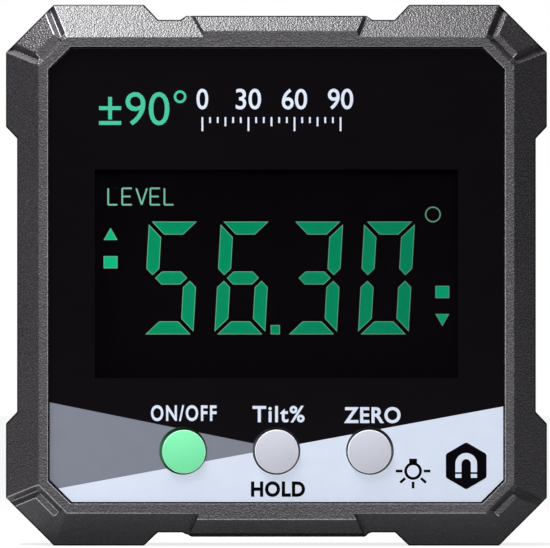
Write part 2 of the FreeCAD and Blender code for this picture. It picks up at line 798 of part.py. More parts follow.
def make_battery_cover():
    """The rear cover with its two screw ears."""
    body = new_body("battery_cover")
    pad(body, "plate", cover_back, rear, cover_outline(ZERO))
    pad(body, "ears", cover_back, rear, *circles(cover_screw_places, s.ear_radius))
    ear_bottom = cover_back - s.ear_boss_height
    pad(body, "ear_bosses", ear_bottom, cover_back, *circles(cover_screw_places, s.ear_boss_radius))
    seat = rear - s.cover_head_gap - s.cover_head_height
    pocket(body, "head_recesses", seat, rear + s.overrun,
           *circles(cover_screw_places, s.cover_head_radius + s.cover_head_gap))
    pocket(body, "screw_holes", ear_bottom - s.overrun, seat + s.overrun,
           *circles(cover_screw_places, s.cover_shank_radius + s.hole_gap))
    outer, inner = cover_seal_ring()
    pocket(body, "seal_groove", cover_back - s.overrun, cover_back + s.cover_seal_groove, outer, inner)


def make_cover_fasteners():
    """Captive screws of the battery cover, their washers and the brass inserts that they turn into."""
    seat = rear - s.cover_head_gap - s.cover_head_height
    screws("battery_cover_screws", cover_screw_places, seat, "cover", s.cover_shank_radius,
           s.cover_shank_length, s.cover_head_radius, s.cover_head_height)
    ear_bottom = cover_back - s.ear_boss_height
    body = new_body("screw_retaining_washers", apart=True)
    near = ear_bottom - s.washer_gap - s.washer_thickness
    pad(body, "washers", near, near + s.washer_thickness, *circles(cover_screw_places, s.washer_radius),
        *circles(cover_screw_places, s.cover_shank_radius))
    body = new_body("threaded_inserts", apart=True)
    top = ear_bottom - s.ear_floor_gap - s.insert_end_gap
    pad(body, "inserts", top - s.insert_length, top, *circles(cover_screw_places, s.insert_radius),
        *circles(cover_screw_places, s.cover_shank_radius + s.cover_thread_gap))


def make_button(name, x):
    """A push button with its silicone core, its collapsing web and its carbon pill."""
    origin = (x, ZERO, s.half_width + s.button_level)
    flange_front = web_back + s.flange_gap
    flange_back = flange_front + s.flange_thickness
    crown_radius = s.button_radius - s.button_edge
    rim = front + s.button_crown
    turned(new_body(f"{name}_button"), "cap", origin, TOP_VIEW, [
        (ZERO, front), (crown_radius / 2, front + s.button_crown / 4), (crown_radius, rim),
        (s.button_radius, rim + s.button_edge), (s.button_radius, flange_front),
        (s.flange_radius, flange_front), (s.flange_radius, flange_back), (ZERO, flange_back)])
    shoulder = flange_back + s.core_shoulder
    pill_end = board_front - s.key_travel
    stem_end = pill_end - s.pill_thickness
    turned(new_body(f"{name}_key_core"), "core", origin, TOP_VIEW, [
        (ZERO, flange_back), (s.core_radius, flange_back), (s.core_radius, shoulder),
        (s.stem_radius, shoulder), (s.stem_radius, stem_end), (ZERO, stem_end)])
    mat_front = board_front - s.mat_thickness
    turned(new_body(f"{name}_key_web"), "web", origin, TOP_VIEW, [
        (s.web_ring_inner, shoulder), (s.web_ring_inner + s.web_ring_width, shoulder),
        (s.web_foot_inner + s.web_ring_width, mat_front), (s.web_foot_inner, mat_front)])
    turned(new_body(f"{name}_contact_pill"), "pill", origin, TOP_VIEW, [
        (ZERO, stem_end), (s.pill_radius, stem_end), (s.pill_radius, pill_end), (ZERO, pill_end)])


def make_keypad_mat():
    """The silicone sheet that the three keys stand on."""
    body = new_body("keypad_mat")
    outline = bar(mat_half_width, s.mat_half_height, z=s.button_level)
    holes = [Circle(hole.x, hole.z, s.mat_hole_radius) for hole in button_holes]
    pad(body, "sheet", board_front - s.mat_thickness, board_front, outline, *holes)


def seven_segment_outlines(left):
    """The outline of each segment of a slanted digit, by its letter."""
    gap, width = s.segment_gap, s.segment_width
    right, top, middle = s.digit_width, s.digit_height, s.digit_height / 2
    flat = {
        "a": [(gap, top), (right - gap, top), (right - gap - width, top - width),
              (gap + width, top - width)],
        "f": [(ZERO, top - gap), (width, top - gap - width), (width, middle + gap + width / 2),
              (width / 2, middle + gap), (ZERO, middle + gap + width / 2)],
        "g": [(width / 2 + gap, middle), (width + gap, middle + width / 2),
              (right - width - gap, middle + width / 2), (right - width / 2 - gap, middle),
              (right - width - gap, middle - width / 2), (width + gap, middle - width / 2)],
    }
    flat["d"] = [(x, top - z) for x, z in flat["a"]]
    flat["b"] = [(right - x, z) for x, z in flat["f"]]
    flat["e"] = [(x, top - z) for x, z in flat["f"]]
    flat["c"] = [(right - x, top - z) for x, z in flat["f"]]
    return {letter: [(left + x + z * SLANT_SHARE, s.digit_foot + z) for x, z in points]
            for letter, points in flat.items()}


def make_display_marks(body, near, far):
    """Decimal point, degree ring and the tilt arrows with their squares."""
    size = s.point_size
    right = s.digit_left + s.digit_pitch * 2 - s.point_gap
    dot = rectangle(right - size, right, s.digit_foot, s.digit_foot + size)
    pad(body, "decimal_point", near, far, dot)
    ring = Circle(s.window_half_width - s.degree_inset, window_top - s.degree_drop, s.degree_radius)
    pad(body, "degree_ring", near, far, ring, Circle(ring.x, ring.z, s.degree_radius - s.degree_line))
    half = s.arrow_half_width
    right = s.window_half_width - s.arrow_inset
    left = -right
    level = s.window_rise + s.left_arrow_rise
    up = [(left - half, level), (left + half, level), (left, level + s.arrow_height)]
    level = s.window_rise - s.right_arrow_drop
    down = [(right - half, level), (right + half, level), (right, level - s.arrow_height)]
    level = s.window_rise + s.left_square_rise
    left_square = rectangle(left - half, left + half, level, level + s.square_height)
    level = s.window_rise - s.right_square_drop
    right_square = rectangle(right - half, right + half, level, level + s.square_height)
    pad(body, "tilt_marks", near, far, up, down, left_square, right_square)


def make_display():
    """The liquid crystal cell with its polarizers, its lit segments and its light guide."""
    half = s.window_half_width
    side = half + s.glass_margin
    film = bar(half + s.polarizer_margin, s.window_half_height + s.polarizer_margin, z=s.window_rise)
    level = web_back
    pad(new_body("lcd_front_polarizer"), "film", level, level + s.polarizer_thickness, film)
    level = level + s.polarizer_thickness
    rear_low = window_low - s.rear_glass_low_margin
    front_glass = rectangle(-side, side, rear_low - s.contact_ledge, window_top + s.glass_margin)
    pad(new_body("lcd_front_glass"), "glass", level, level + s.glass_thickness, front_glass)
    level = level + s.glass_thickness
    body = new_body("lcd_segments", apart=True)
    for number, letters in enumerate(DIGITS):
        outlines = seven_segment_outlines(s.digit_left + s.digit_pitch * number)
        pad(body, f"digit_{number + 1}", level, level + s.cell_gap, *[outlines[key] for key in letters])
    make_display_marks(body, level, level + s.cell_gap)
    level = level + s.cell_gap
    rear_glass = rectangle(-side, side, rear_low, window_top + s.glass_margin)
    pad(new_body("lcd_rear_glass"), "glass", level, level + s.glass_thickness, rear_glass)
    level = level + s.glass_thickness
    film = rectangle(-half - s.polarizer_margin, half + s.polarizer_margin, rear_low,
                     window_top + s.polarizer_margin)
    pad(new_body("lcd_rear_polarizer"), "film", level, level + s.polarizer_thickness, film)
    level = level + s.polarizer_thickness
    inset = s.guide_inset
    guide = rectangle(inset - side, side - inset, rear_low, window_top + s.glass_margin - inset)
    ledge = board_front - s.holder_back
    pad(new_body("backlight_guide"), "guide", level, ledge, guide)
    make_display_holder(ledge, side, rear_low, window_top + s.glass_margin)


def make_display_holder(ledge, side, rear_low, top):
    """The frame that clamps the display to the web, with the slot for the contact strip."""
    gap, wall = s.holder_gap, s.holder_wall
    low = rear_low - s.contact_ledge
    body = new_body("lcd_holder")
    outer = rectangle(-side - gap - wall, side + gap + wall, low - gap - wall, top + gap + wall)
    pad(body, "frame", web_back, board_front, outer)
    pocket(body, "glass_pocket", web_back - s.overrun, ledge,
           rectangle(-side - gap, side + gap, low - gap, top + gap))
    strip_top = rear_low - gap
    strip_low = strip_top - s.zebra_height
    strip_half = side - s.zebra_side_inset
    inner_half = side - s.holder_side_ledge
    pocket(body, "light_opening", ledge - s.overrun, board_front + s.overrun,
           rectangle(-inner_half, inner_half, rear_low + s.holder_bar, top - s.holder_side_ledge))
    pocket(body, "strip_slot", ledge - s.overrun, board_front + s.overrun,
           rectangle(-strip_half - gap, strip_half + gap, strip_low - s.zebra_gap, strip_top + s.zebra_gap))
    contact = web_back + s.polarizer_thickness + s.glass_thickness
    pad(new_body("zebra_strip"), "strip", contact, board_front,
        rectangle(-strip_half, strip_half, strip_low, strip_top))


def make_circuit_board():
    """The board with the chips and small parts behind it and the backlight in front."""
    body = new_body("circuit_board")
    pad(body, "board", board_front, board_back, octagon(board_half, board_half, s.board_cut))
    holes = circles(board_screw_places, s.board_shank_radius + s.hole_gap * 2)
    pocket(body, "screw_holes", board_front - s.overrun, board_back + s.overrun, *holes)
    body = new_body("backlight_leds", apart=True)
    places = [s.led_pitch * step for step in (-1.5, -0.5, 0.5, 1.5)]
    pad(body, "lamps", board_front - s.holder_back + s.led_gap, board_front,
        *[bar(s.led_half_width, s.led_half_height, x, s.window_rise) for x in places])
    make_chips()
    length = board_back - web_back - s.board_pilot_floor - s.tip_gap / 2
    screws("board_screws", board_screw_places, board_back, "board", s.board_shank_radius,
           length, s.board_head_radius, s.board_head_height)


def make_chips():
    """The chips and the small parts on the back of the board."""
    body = new_body("controller_chip")
    x, z = -s.controller_place, s.controller_level
    lead = s.controller_half + s.controller_lead
    pad(body, "side_leads", board_back, board_back + s.lead_thickness, bar(lead, s.controller_half, x, z))
    pad(body, "end_leads", board_back, board_back + s.lead_thickness, bar(s.controller_half, lead, x, z))
    pad(body, "case", board_back, board_back + s.controller_height,
        bar(s.controller_half, s.controller_half, x, z))
    pad(new_body("tilt_sensor_chip"), "case", board_back, board_back + s.tilt_chip_height,
        bar(s.tilt_chip_half, s.tilt_chip_half, s.tilt_chip_place, s.tilt_chip_level))
    pad(new_body("crystal_oscillator"), "can", board_back, board_back + s.crystal_thickness,
        bar(s.crystal_half_width, s.crystal_half_height, -s.crystal_place, s.crystal_level))
    pad(new_body("voltage_converter_chip"), "case", board_back, board_back + s.converter_height,
        bar(s.converter_half, s.converter_half, board_half - s.converter_inset, s.converter_level))
    body = new_body("smd_parts", apart=True)
    row = [bar(s.smd_half_width, s.smd_half_height, s.smd_pitch * step, level)
           for level in (s.smd_level, -s.smd_level) for step in range(-3, 3)]
    pad(body, "row", board_back, board_back + s.smd_thickness, *row)


def make_cell(name, sign):
    """A battery; sign 1 puts its positive end on the right and sign -1 on the left."""
    view = CELL_VIEW if sign > 0 else View(CELL_VIEW.across, -CELL_VIEW.up)
    origin = (ZERO, cell_axis, s.half_width + s.cell_pitch * (sign / 2))
    tip = s.bay_half_length - s.contact_thickness
    shoulder = tip - s.nub_length
    foot = tip - s.cell_length
    edge = s.cell_radius - s.cell_edge
    turned(new_body(name), "cell", origin, view, [
        (ZERO, foot), (edge, foot), (s.cell_radius, foot + s.cell_edge),
        (s.cell_radius, shoulder - s.cell_edge), (edge, shoulder), (s.nub_radius, shoulder),
        (s.nub_radius, tip), (ZERO, tip)])


def make_contacts():
    """The sheet metal contacts at both ends of the battery bay."""
    outer = s.bay_half_length
    inner = s.bay_half_length - s.contact_thickness
    middle = s.cell_pitch / 2
    low = bay_floor_top + s.contact_floor_gap
    high = cover_seat - s.contact_cover_gap
    body = new_body("battery_bridge_contact")
    reach = middle + s.contact_half
    pad(body, "plate", low, high, rectangle(-outer, -inner, -reach, reach))
    for name, level in (("battery_positive_contact", middle), ("battery_negative_contact", -middle)):
        body = new_body(name)
        plate = rectangle(inner, outer, level - s.contact_half, level + s.contact_half)
        pad(body, "plate", low, high, plate)
        tail = rectangle(inner, outer, level - s.tail_half, level + s.tail_half)
        pad(body, "tail", board_back, low, tail)


def spring_point(turn, length):
    """A point and tangent of the conical spring's middle line after a number of turns."""
    share = turn / SPRING_TURNS
    large, small = s.spring_large_radius.value, s.spring_small_radius.value
    radius = large + (small - large) * share
    angle = turn * 2 * math.pi
    point = FreeCAD.Vector(length * share, radius * math.cos(angle), radius * math.sin(angle))
    inward = (small - large) / SPRING_TURNS / (2 * math.pi)
    climb = length / SPRING_TURNS / (2 * math.pi)
    tangent = FreeCAD.Vector(climb, inward * math.cos(angle) - radius * math.sin(angle),
                             inward * math.sin(angle) + radius * math.cos(angle))
    return point, tangent.normalize()


def tangent_arc(start, end, tangent):
    """The arc from start to end that leaves start along a tangent."""
    chord = end - start
    angle = chord.getAngle(tangent)
    side = (chord - tangent * chord.dot(tangent)).normalize()
    radius = chord.Length / 2 / math.sin(angle)
    centre = start + side * radius
    middle = (start + end) * 0.5
    top = centre + (middle - centre).normalize() * radius
    return Part.Arc(start, top, end).toShape()


def biarc(start, start_tangent, end, end_tangent):
    """Two arcs that join two points with the tangents given at both."""
    chord = end - start
    bend = 2 * (1 - start_tangent.dot(end_tangent))
    along = chord.dot(start_tangent + end_tangent)
    reach = (math.sqrt(along * along + bend * chord.dot(chord)) - along) / bend
    knot = (start + end + (start_tangent - end_tangent) * reach) / 2
    first = tangent_arc(start, knot, start_tangent)
    second = tangent_arc(end, knot, -end_tangent)
    return [first, second]


def least_gap(length):
    """The least clear distance between two turns of the spring, on points of its middle line."""
    wire = 2 * s.spring_wire_radius.value
    count = int(SPRING_TURNS * POINTS_PER_TURN)
    points = [spring_point(step / POINTS_PER_TURN, length)[0] for step in range(count + 1)]
    apart = POINTS_PER_TURN // 2
    return min(points[later].distanceToPoint(points[first]) - wire
               for first in range(count + 1) for later in range(first + apart, count + 1))


def make_spring(name, sign):
    """The conical spring between a contact plate and the flat end of a battery."""
    wire = s.spring_wire_radius.value
    clear = s.spring_end_gap.value
    length = s.spring_space.value - 2 * (wire + clear)
    print(f"{name}: least gap between turns {least_gap(length):.2f} mm")
    steps = int(SPRING_TURNS * ARCS_PER_TURN)
    samples = [spring_point(step / ARCS_PER_TURN, length) for step in range(steps + 1)]
    edges = []
    for (start, start_tangent), (end, end_tangent) in zip(samples, samples[1:]):
        edges += biarc(start, start_tangent, end, end_tangent)
    path = Part.Wire(edges)
    begin, direction = samples[0]
    section = Part.Wire([Part.makeCircle(wire, begin, direction)])
    shape = path.makePipeShell([section], True, False)
    feature = doc.addObject("Part::Feature", name)
    feature.Label = name
    feature.Shape = shape
    seat = (s.bay_half_length - s.contact_thickness).value - wire - clear
    level = (s.half_width - s.cell_pitch * (sign / 2)).value
    spin = FreeCAD.Rotation(FreeCAD.Vector(0, 1, 0), 180 if sign > 0 else 0)
    feature.Placement = FreeCAD.Placement(FreeCAD.Vector(sign * seat, cell_axis.value, level), spin)
    parts[name] = feature


def make_magnet(name, x, y):
    """A disc magnet in its pocket in the base."""
    disc = doc.addObject("Part::Cylinder", name)
    disc.Label = name
    disc.setExpression("Radius", s.magnet_radius.text)
    disc.setExpression("Height", s.magnet_thickness.text)
    disc.setExpression("Placement.Base.x", x.text)
    disc.setExpression("Placement.Base.y", y.text)
    disc.setExpression("Placement.Base.z", s.magnet_recess.text)
    parts[name] = disc


def make_everything():
    """Every sub-part of the box, from the shells to the base magnets."""
    make_front_housing()
    make_rear_housing()
    make_battery_cover()
    make_panel()
    make_seals()
    seat = rear - s.housing_seat_depth
    length = seat - web_back - s.pilot_floor - s.tip_gap
    screws("housing_screws", housing_screw_places, seat, "housing", s.housing_shank_radius,
           length, s.housing_head_radius, s.housing_head_height)
    make_cover_fasteners()
    for name, x in button_places.items():
        make_button(name, x)
    make_keypad_mat()
    make_display()
    make_circuit_board()
    make_cell("upper_battery", 1)
    make_cell("lower_battery", -1)
    make_contacts()
    make_spring("upper_battery_spring", -1)
    make_spring("lower_battery_spring", 1)
    for side, x in (("left", -magnet_place), ("right", magnet_place)):
        make_magnet(f"{side}_front_magnet", x, front_magnet_depth)
        make_magnet(f"{side}_rear_magnet", x, rear_magnet_depth)


def check_features():
    """Stops if a feature failed, or if a cut took nothing away."""
    for item in doc.Objects:
        if "Invalid" in item.State or "Error" in item.State:
            raise RuntimeError(f"{item.Label} failed: {item.State}")
        if item.TypeId == "PartDesign::Pocket":
            if item.Shape.Volume >= item.BaseFeature.Shape.Volume:
                raise RuntimeError(f"{item.Label} cuts nothing")


def write_parts():
    """Writes each sub-part to a STEP file under its node's name."""
    os.makedirs("parts", exist_ok=True)
    for name, item in parts.items():
        shape = item.Shape
        if shape.isNull() or not shape.isValid() or not shape.Solids:
            raise RuntimeError(f"{name} has no valid solid")
        shape.exportStep(os.path.join("parts", f"{name}.step"))


make_everything()
doc.recompute()
check_features()
write_parts()
print(f"{len(parts)} sub-parts written")
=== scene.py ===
"""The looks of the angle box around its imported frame: shells, panel, keys, display, cells and studio.

Metres throughout, in the CAD frame: +Z up, the front faces -Y. Sizes below are in millimetres times MM.
Places on the front, across and up, are in plain millimetres, and so are the corners that are moved.
"""
from __future__ import annotations

import json
import logging
import math
from dataclasses import dataclass
from enum import Enum, IntEnum
from typing import Callable, Iterable, Sequence

import bmesh
import bpy
from mathutils import Matrix, Vector

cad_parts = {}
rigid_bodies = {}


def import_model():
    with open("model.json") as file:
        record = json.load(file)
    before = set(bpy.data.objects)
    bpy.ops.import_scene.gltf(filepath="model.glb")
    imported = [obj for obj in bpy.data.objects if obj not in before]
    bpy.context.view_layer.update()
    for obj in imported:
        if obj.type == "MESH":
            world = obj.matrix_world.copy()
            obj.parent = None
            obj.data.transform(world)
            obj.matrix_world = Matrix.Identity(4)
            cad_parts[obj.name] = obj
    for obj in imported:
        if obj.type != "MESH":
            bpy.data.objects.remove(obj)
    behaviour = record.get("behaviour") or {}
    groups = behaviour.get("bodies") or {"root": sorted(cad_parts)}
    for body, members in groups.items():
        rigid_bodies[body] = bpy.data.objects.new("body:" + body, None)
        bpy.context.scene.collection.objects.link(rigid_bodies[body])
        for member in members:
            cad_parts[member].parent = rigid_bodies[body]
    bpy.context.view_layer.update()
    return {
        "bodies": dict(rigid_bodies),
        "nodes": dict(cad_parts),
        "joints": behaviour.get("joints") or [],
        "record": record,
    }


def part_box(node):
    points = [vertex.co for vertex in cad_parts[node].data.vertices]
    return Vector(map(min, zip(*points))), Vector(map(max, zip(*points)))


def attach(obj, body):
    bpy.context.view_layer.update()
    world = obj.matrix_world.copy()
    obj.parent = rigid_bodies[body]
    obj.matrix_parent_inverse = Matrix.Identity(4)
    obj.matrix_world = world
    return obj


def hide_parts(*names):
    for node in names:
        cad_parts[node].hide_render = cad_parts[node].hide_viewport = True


LOG = logging.getLogger("angle_box")
MM = 0.001
# Corners nearer than this are merged
DOUBLES = 0.0005 * MM
# Places nearer than this to a plane are on it
HAIR = 0.02 * MM
# Along Y, a face's normal is shorter than the first where it stands side on to the front, and longer than
# the second where it is level with it
SIDE_ON = 0.1
FACE_ON = 0.95

Colour = tuple[float, float, float]
Point = tuple[float, float]
Line = tuple[Point, Point]
Band = tuple[float, float]
Moves = tuple[tuple[float, ...], ...]
EdgeTest = Callable[[bmesh.types.BMEdge], bool]


def colour_of(red: int, green: int, blue: int) -> Colour:
    """A colour written as display values from 0 to 255, as the linear values that shaders take."""
    shares = (value / 255 for value in (red, green, blue))
    return tuple(share / 12.92 if share <= 0.04045 else ((share + 0.055) / 1.055) ** 2.4 for share in shares)


def rgba(colour: Colour) -> tuple[float, float, float, float]:
    """The colour with full alpha."""
    return (*colour, 1.0)


def within(value: float, band: Band) -> bool:
    """True where a value lies inside a band."""
    return band[0] < value < band[1]


def at_corner(place: Vector, corner: Sequence[float]) -> bool:
    """True where a place in metres is a corner that is given in millimetres."""
    return (place / MM - Vector(corner)).length < 0.05


class Axis(Enum):
    """An axis of the frame, with its place in a vector."""

    X = 0
    Z = 2


class Noise(Enum):
    """Kinds of pattern that a finish can ask for."""

    CLOUD = "ShaderNodeTexNoise"
    CELL = "ShaderNodeTexVoronoi"


class Ray(Enum):
    """Kinds of ray that the floor and the world tell apart."""

    CAMERA = "Is Camera Ray"
    GLOSSY = "Is Glossy Ray"
    TRANSMISSION = "Is Transmission Ray"


class ShellSlot(IntEnum):
    """Material slots of the two shells."""

    PLAIN = 0
    RUBBED = 1
    LIGHT = 2
    DARK = 3
    MATT = 4


# Shader trees


@dataclass(frozen=True, eq=False)
class Signal:
    """The output of a shader node, with arithmetic that adds Math nodes."""

    tree: ShaderTree
    socket: bpy.types.NodeSocket

    def __add__(self, other: Signal | float) -> Signal:
        """This value plus another."""
        return self.tree.maths("ADD", self, other)

    def __sub__(self, other: Signal | float) -> Signal:
        """This value less another."""
        return self.tree.maths("SUBTRACT", self, other)

    def __rsub__(self, other: float) -> Signal:
        """A number less this value."""
        return self.tree.maths("SUBTRACT", other, self)

    def __mul__(self, other: Signal | float) -> Signal:
        """This value times another."""
        return self.tree.maths("MULTIPLY", self, other)

    def __truediv__(self, other: Signal | float) -> Signal:
        """This value divided by another."""
        return self.tree.maths("DIVIDE", self, other)

    def __gt__(self, other: Signal | float) -> Signal:
        """One where this value is the larger, zero elsewhere."""
        return self.tree.maths("GREATER_THAN", self, other)

    def __lt__(self, other: Signal | float) -> Signal:
        """One where this value is the smaller, zero elsewhere."""
        return self.tree.maths("LESS_THAN", self, other)

    __radd__ = __add__
    __rmul__ = __mul__

    def limited(self) -> Signal:
        """This value held between zero and one."""
        return self.tree.maths("MAXIMUM", self.tree.maths("MINIMUM", self, 1.0), 0.0)

    def ramp(self, low: float, high: float) -> Signal:
        """Zero at or under low and one at or over high, in a straight line between."""
        return ((self - low) / (high - low)).limited()


class ShaderTree:
    """The node tree of a material or of the world."""

    def __init__(self, tree: bpy.types.NodeTree) -> None:
        """Empties the tree.

        Args:
            tree: The tree to fill.
        """
        self.tree = tree
        tree.nodes.clear()

    def feed(self, node: bpy.types.Node, key: str | int, value: object) -> None:
        """Links a signal to a socket of a node, or sets the socket's own value.

        Args:
            node: The node.
            key: The socket's name or number.
            value: A signal or a value.
        """
        if isinstance(value, Signal):
            self.tree.links.new(value.socket, node.inputs[key])
        else:
            node.inputs[key].default_value = value

    def node(self, kind: str, settings: dict | None = None, inputs: dict | None = None) -> bpy.types.Node:
        """Adds a node, its settings first and then its sockets.

        Args:
            kind: The node's type.
            settings: Attributes of the node, such as a Math node's operation.
            inputs: Values or signals by socket name or number.

        Returns:
            The node.
        """
        made = self.tree.nodes.new(kind)
        for key, value in (settings or {}).items():
            setattr(made, key, value)
        for key, value in (inputs or {}).items():
            self.feed(made, key, value)
        return made

    def signal(self, kind: str, output: str | int, settings: dict | None = None,
               inputs: dict | None = None) -> Signal:
        """Adds a node and returns one of its outputs."""
        return Signal(self, self.node(kind, settings, inputs).outputs[output])

    def maths(self, operation: str, *values: Signal | float) -> Signal:
        """A Math node on signals and numbers."""
        return self.signal("ShaderNodeMath", 0, {"operation": operation}, dict(enumerate(values)))

    def place(self) -> Signal:
        """The point in the frame, in metres."""
        return self.signal("ShaderNodeTexCoord", "Object")

    def along(self, axis: Axis) -> Signal:
        """One coordinate of the point in the frame."""
        return self.signal("ShaderNodeSeparateXYZ", axis.value, inputs={0: self.place()})

    def mapped(self, scale: Sequence[float] = (1, 1, 1), turn: Sequence[float] = (0, 0, 0)) -> Signal:
        """The point in the frame, scaled and turned by a Mapping node."""
        inputs = {"Vector": self.place(), "Scale": scale, "Rotation": turn}
        return self.signal("ShaderNodeMapping", 0, inputs=inputs)

    def pattern(self, kind: Noise, pitch: float, detail: float = 2.0, where: Signal | None = None) -> Signal:
        """A noise with features about one pitch apart.

        Args:
            kind: Cloudy or cellular.
            pitch: Distance between features, in metres.
            detail: Octaves of a cloudy noise.
            where: The coordinates, or None for the point in the frame.

        Returns:
            The noise, from zero to one.
        """
        inputs = {"Vector": where or self.place(), "Scale": 1 / pitch}
        if kind is Noise.CLOUD:
            inputs["Detail"] = detail
            return self.signal(kind.value, 0, inputs=inputs)
        return self.signal(kind.value, "Distance", inputs=inputs)

    def mix(self, share: Signal | float, first: Colour | Signal, second: Colour | Signal) -> Signal:
        """A mix of two colours."""
        ends = [end if isinstance(end, Signal) else rgba(end) for end in (first, second)]
        return self.signal("ShaderNodeMix", 2, {"data_type": "RGBA"}, {0: share, 6: ends[0], 7: ends[1]})

    def rays(self, *kinds: Ray) -> Signal:
        """A mask of the rays of some kinds.

        Args:
            kinds: The kinds of ray.

        Returns:
            One for a ray of any of these kinds, zero for the others.
        """
        path = self.node("ShaderNodeLightPath")
        mask, *others = [Signal(self, path.outputs[kind.value]) for kind in kinds]
        for other in others:
            mask = self.maths("MAXIMUM", mask, other)
        return mask


class Surface(ShaderTree):
    """A material's node tree with one Principled shader."""

    def __init__(self, name: str, inputs: dict) -> None:
        """Makes the material, its shader and its output.

        Args:
            name: The material's name.
            inputs: Values of the shader's sockets.
        """
        self.material = bpy.data.materials.new(name)
        self.material.use_nodes = True
        super().__init__(self.material.node_tree)
        self.shader = self.node("ShaderNodeBsdfPrincipled", inputs=inputs)
        self.node("ShaderNodeOutputMaterial", inputs={"Surface": Signal(self, self.shader.outputs[0])})

    def wear(self, socket: str, value: object) -> None:
        """Feeds a socket of the shader."""
        self.feed(self.shader, socket, value)

    def paint(self, colour: Signal) -> None:
        """Feeds the shader's colour."""
        self.wear("Base Color", colour)

    def emboss(self, height: Signal, depth: float) -> None:
        """A bump that follows a height from zero to one, as deep as depth in metres."""
        inputs = {"Height": height, "Distance": depth, "Strength": 1.0}
        self.wear("Normal", self.signal("ShaderNodeBump", 0, inputs=inputs))


# Finishes


@dataclass(frozen=True)
class Finish:
    """A plain surface. Its kinds add what the real one shows."""

    name: str
    colour: Colour
    roughness: float = 0.5
    metallic: float = 0.0
    specular: float = 0.5

    def material(self) -> bpy.types.Material:
        """The material, made when it is first asked for.

        Returns:
            The material.
        """
        found = bpy.data.materials.get(self.name)
        if found is not None:
            return found
        surface = Surface(self.name, {"Base Color": rgba(self.colour), "Roughness": self.roughness,
                                      "Metallic": self.metallic, "Specular IOR Level": self.specular})
        surface.material.diffuse_color = rgba(self.colour)
        self.dress(surface)
        return surface.material

    def dress(self, surface: Surface) -> None:
        """Adds faint mottling, so that the surface isn't one flat colour.

        Args:
            surface: The nodes of the material.
        """
        cloud = surface.pattern(Noise.CLOUD, 1.5 * MM, 4)
        surface.paint(surface.mix(cloud, self.shade(0.88), self.shade(1.12)))
        self.roughen(surface, cloud, 0.06)

    def shade(self, share: float) -> Colour:
        """The finish's colour, darker or lighter."""
        return tuple(min(1.0, value * share) for value in self.colour)

    def roughen(self, surface: Surface, pattern: Signal, spread: float) -> None:
        """Makes the roughness follow a pattern, up and down by half the spread."""
        surface.wear("Roughness", pattern * spread + (self.roughness - spread / 2))


@dataclass(frozen=True)
class SparkPlastic(Finish):
    """Moulded plastic with the pitted grain of a spark eroded tool."""

    pitch: float = 0.26 * MM
    depth: float = 0.03 * MM
    # Share of painted glints: sparse bright dots in the colour that stand in for sparkle
    painted_glints: float = 0.0

    def dress(self, surface: Surface) -> None:
        """Adds the grain at two scales, its speckle, painted glints as sparse bright dots in the colour, and
        a slow drift of tone.

        Args:
            surface: The nodes of the material.
        """
        coarse = surface.pattern(Noise.CLOUD, self.pitch, 5)
        pits = surface.pattern(Noise.CELL, self.pitch * 0.9)
        drift = surface.pattern(Noise.CLOUD, 14 * MM, 2)
        speck = surface.pattern(Noise.CLOUD, self.pitch * 0.8, 2, surface.mapped(turn=(0.7, 0.4, 0.2)))
        # Pattern of the painted glints
        spark = surface.pattern(Noise.CLOUD, self.pitch * 1.2, 1, surface.mapped(turn=(0.2, 0.9, 0.5)))
        tone = (speck * 0.8 + drift * 0.2).ramp(0.36, 0.66)
        base = surface.mix(tone, self.shade(0.5), self.shade(1.7))
        surface.paint(surface.mix(spark.ramp(0.6, 0.74) * self.painted_glints, base, self.shade(4)))
        self.roughen(surface, coarse, 0.16)
        surface.emboss(coarse * 0.7 + pits * 0.5, self.depth)


@dataclass(frozen=True)
class SmoothPlastic(Finish):
    """Moulded plastic with a fine satin grain."""

    pitch: float = 0.12 * MM
    depth: float = 0.004 * MM

    def dress(self, surface: Surface) -> None:
        """Adds the fine grain and faint clouds.

        Args:
            surface: The nodes of the material.
        """
        fine = surface.pattern(Noise.CLOUD, self.pitch, 3)
        cloud = surface.pattern(Noise.CLOUD, 2.2 * MM, 3)
        surface.paint(surface.mix(cloud, self.shade(0.95), self.shade(1.04)))
        self.roughen(surface, cloud, 0.08)
        surface.emboss(fine, self.depth)


@dataclass(frozen=True)
class GlossPanel(Finish):
    """Black gloss, clear over the display: the print behind a clear sheet."""

    window: tuple[float, float, float, float] = (0, 0, 0, 0)
    tint: float = 0.05

    def dress(self, surface: Surface) -> None:
        """Adds the clear window, a trace of clouding and fine wipe marks.

        Args:
            surface: The nodes of the material.
        """
        left, right, low, high = self.window
        across, up = surface.along(Axis.X), surface.along(Axis.Z)
        inside = (across > left) * (across < right) * (up > low) * (up < high)
        surface.wear("Alpha", 1 - inside * (1 - self.tint))
        cloud = surface.pattern(Noise.CLOUD, 6 * MM, 2)
        surface.paint(surface.mix(cloud, self.shade(0.9), self.shade(1.1)))
        wipe = surface.pattern(Noise.CLOUD, 1.0, 4, surface.mapped((150, 900, 900), (0, 0.3, 0)))
        self.roughen(surface, wipe, 0.05)


@dataclass(frozen=True)
class ClearSheet(Finish):
    """A clear sheet or film that keeps its gloss."""

    specular: float = 0.01
    alpha: float = 0.03

    def dress(self, surface: Surface) -> None:
        """Adds the clearness, with the faintest haze.

        Args:
            surface: The nodes of the material.
        """
        haze = surface.pattern(Noise.CLOUD, 5 * MM, 2)
        surface.wear("Alpha", haze * 0.01 + (self.alpha - 0.005))
        self.roughen(surface, haze, 0.04)


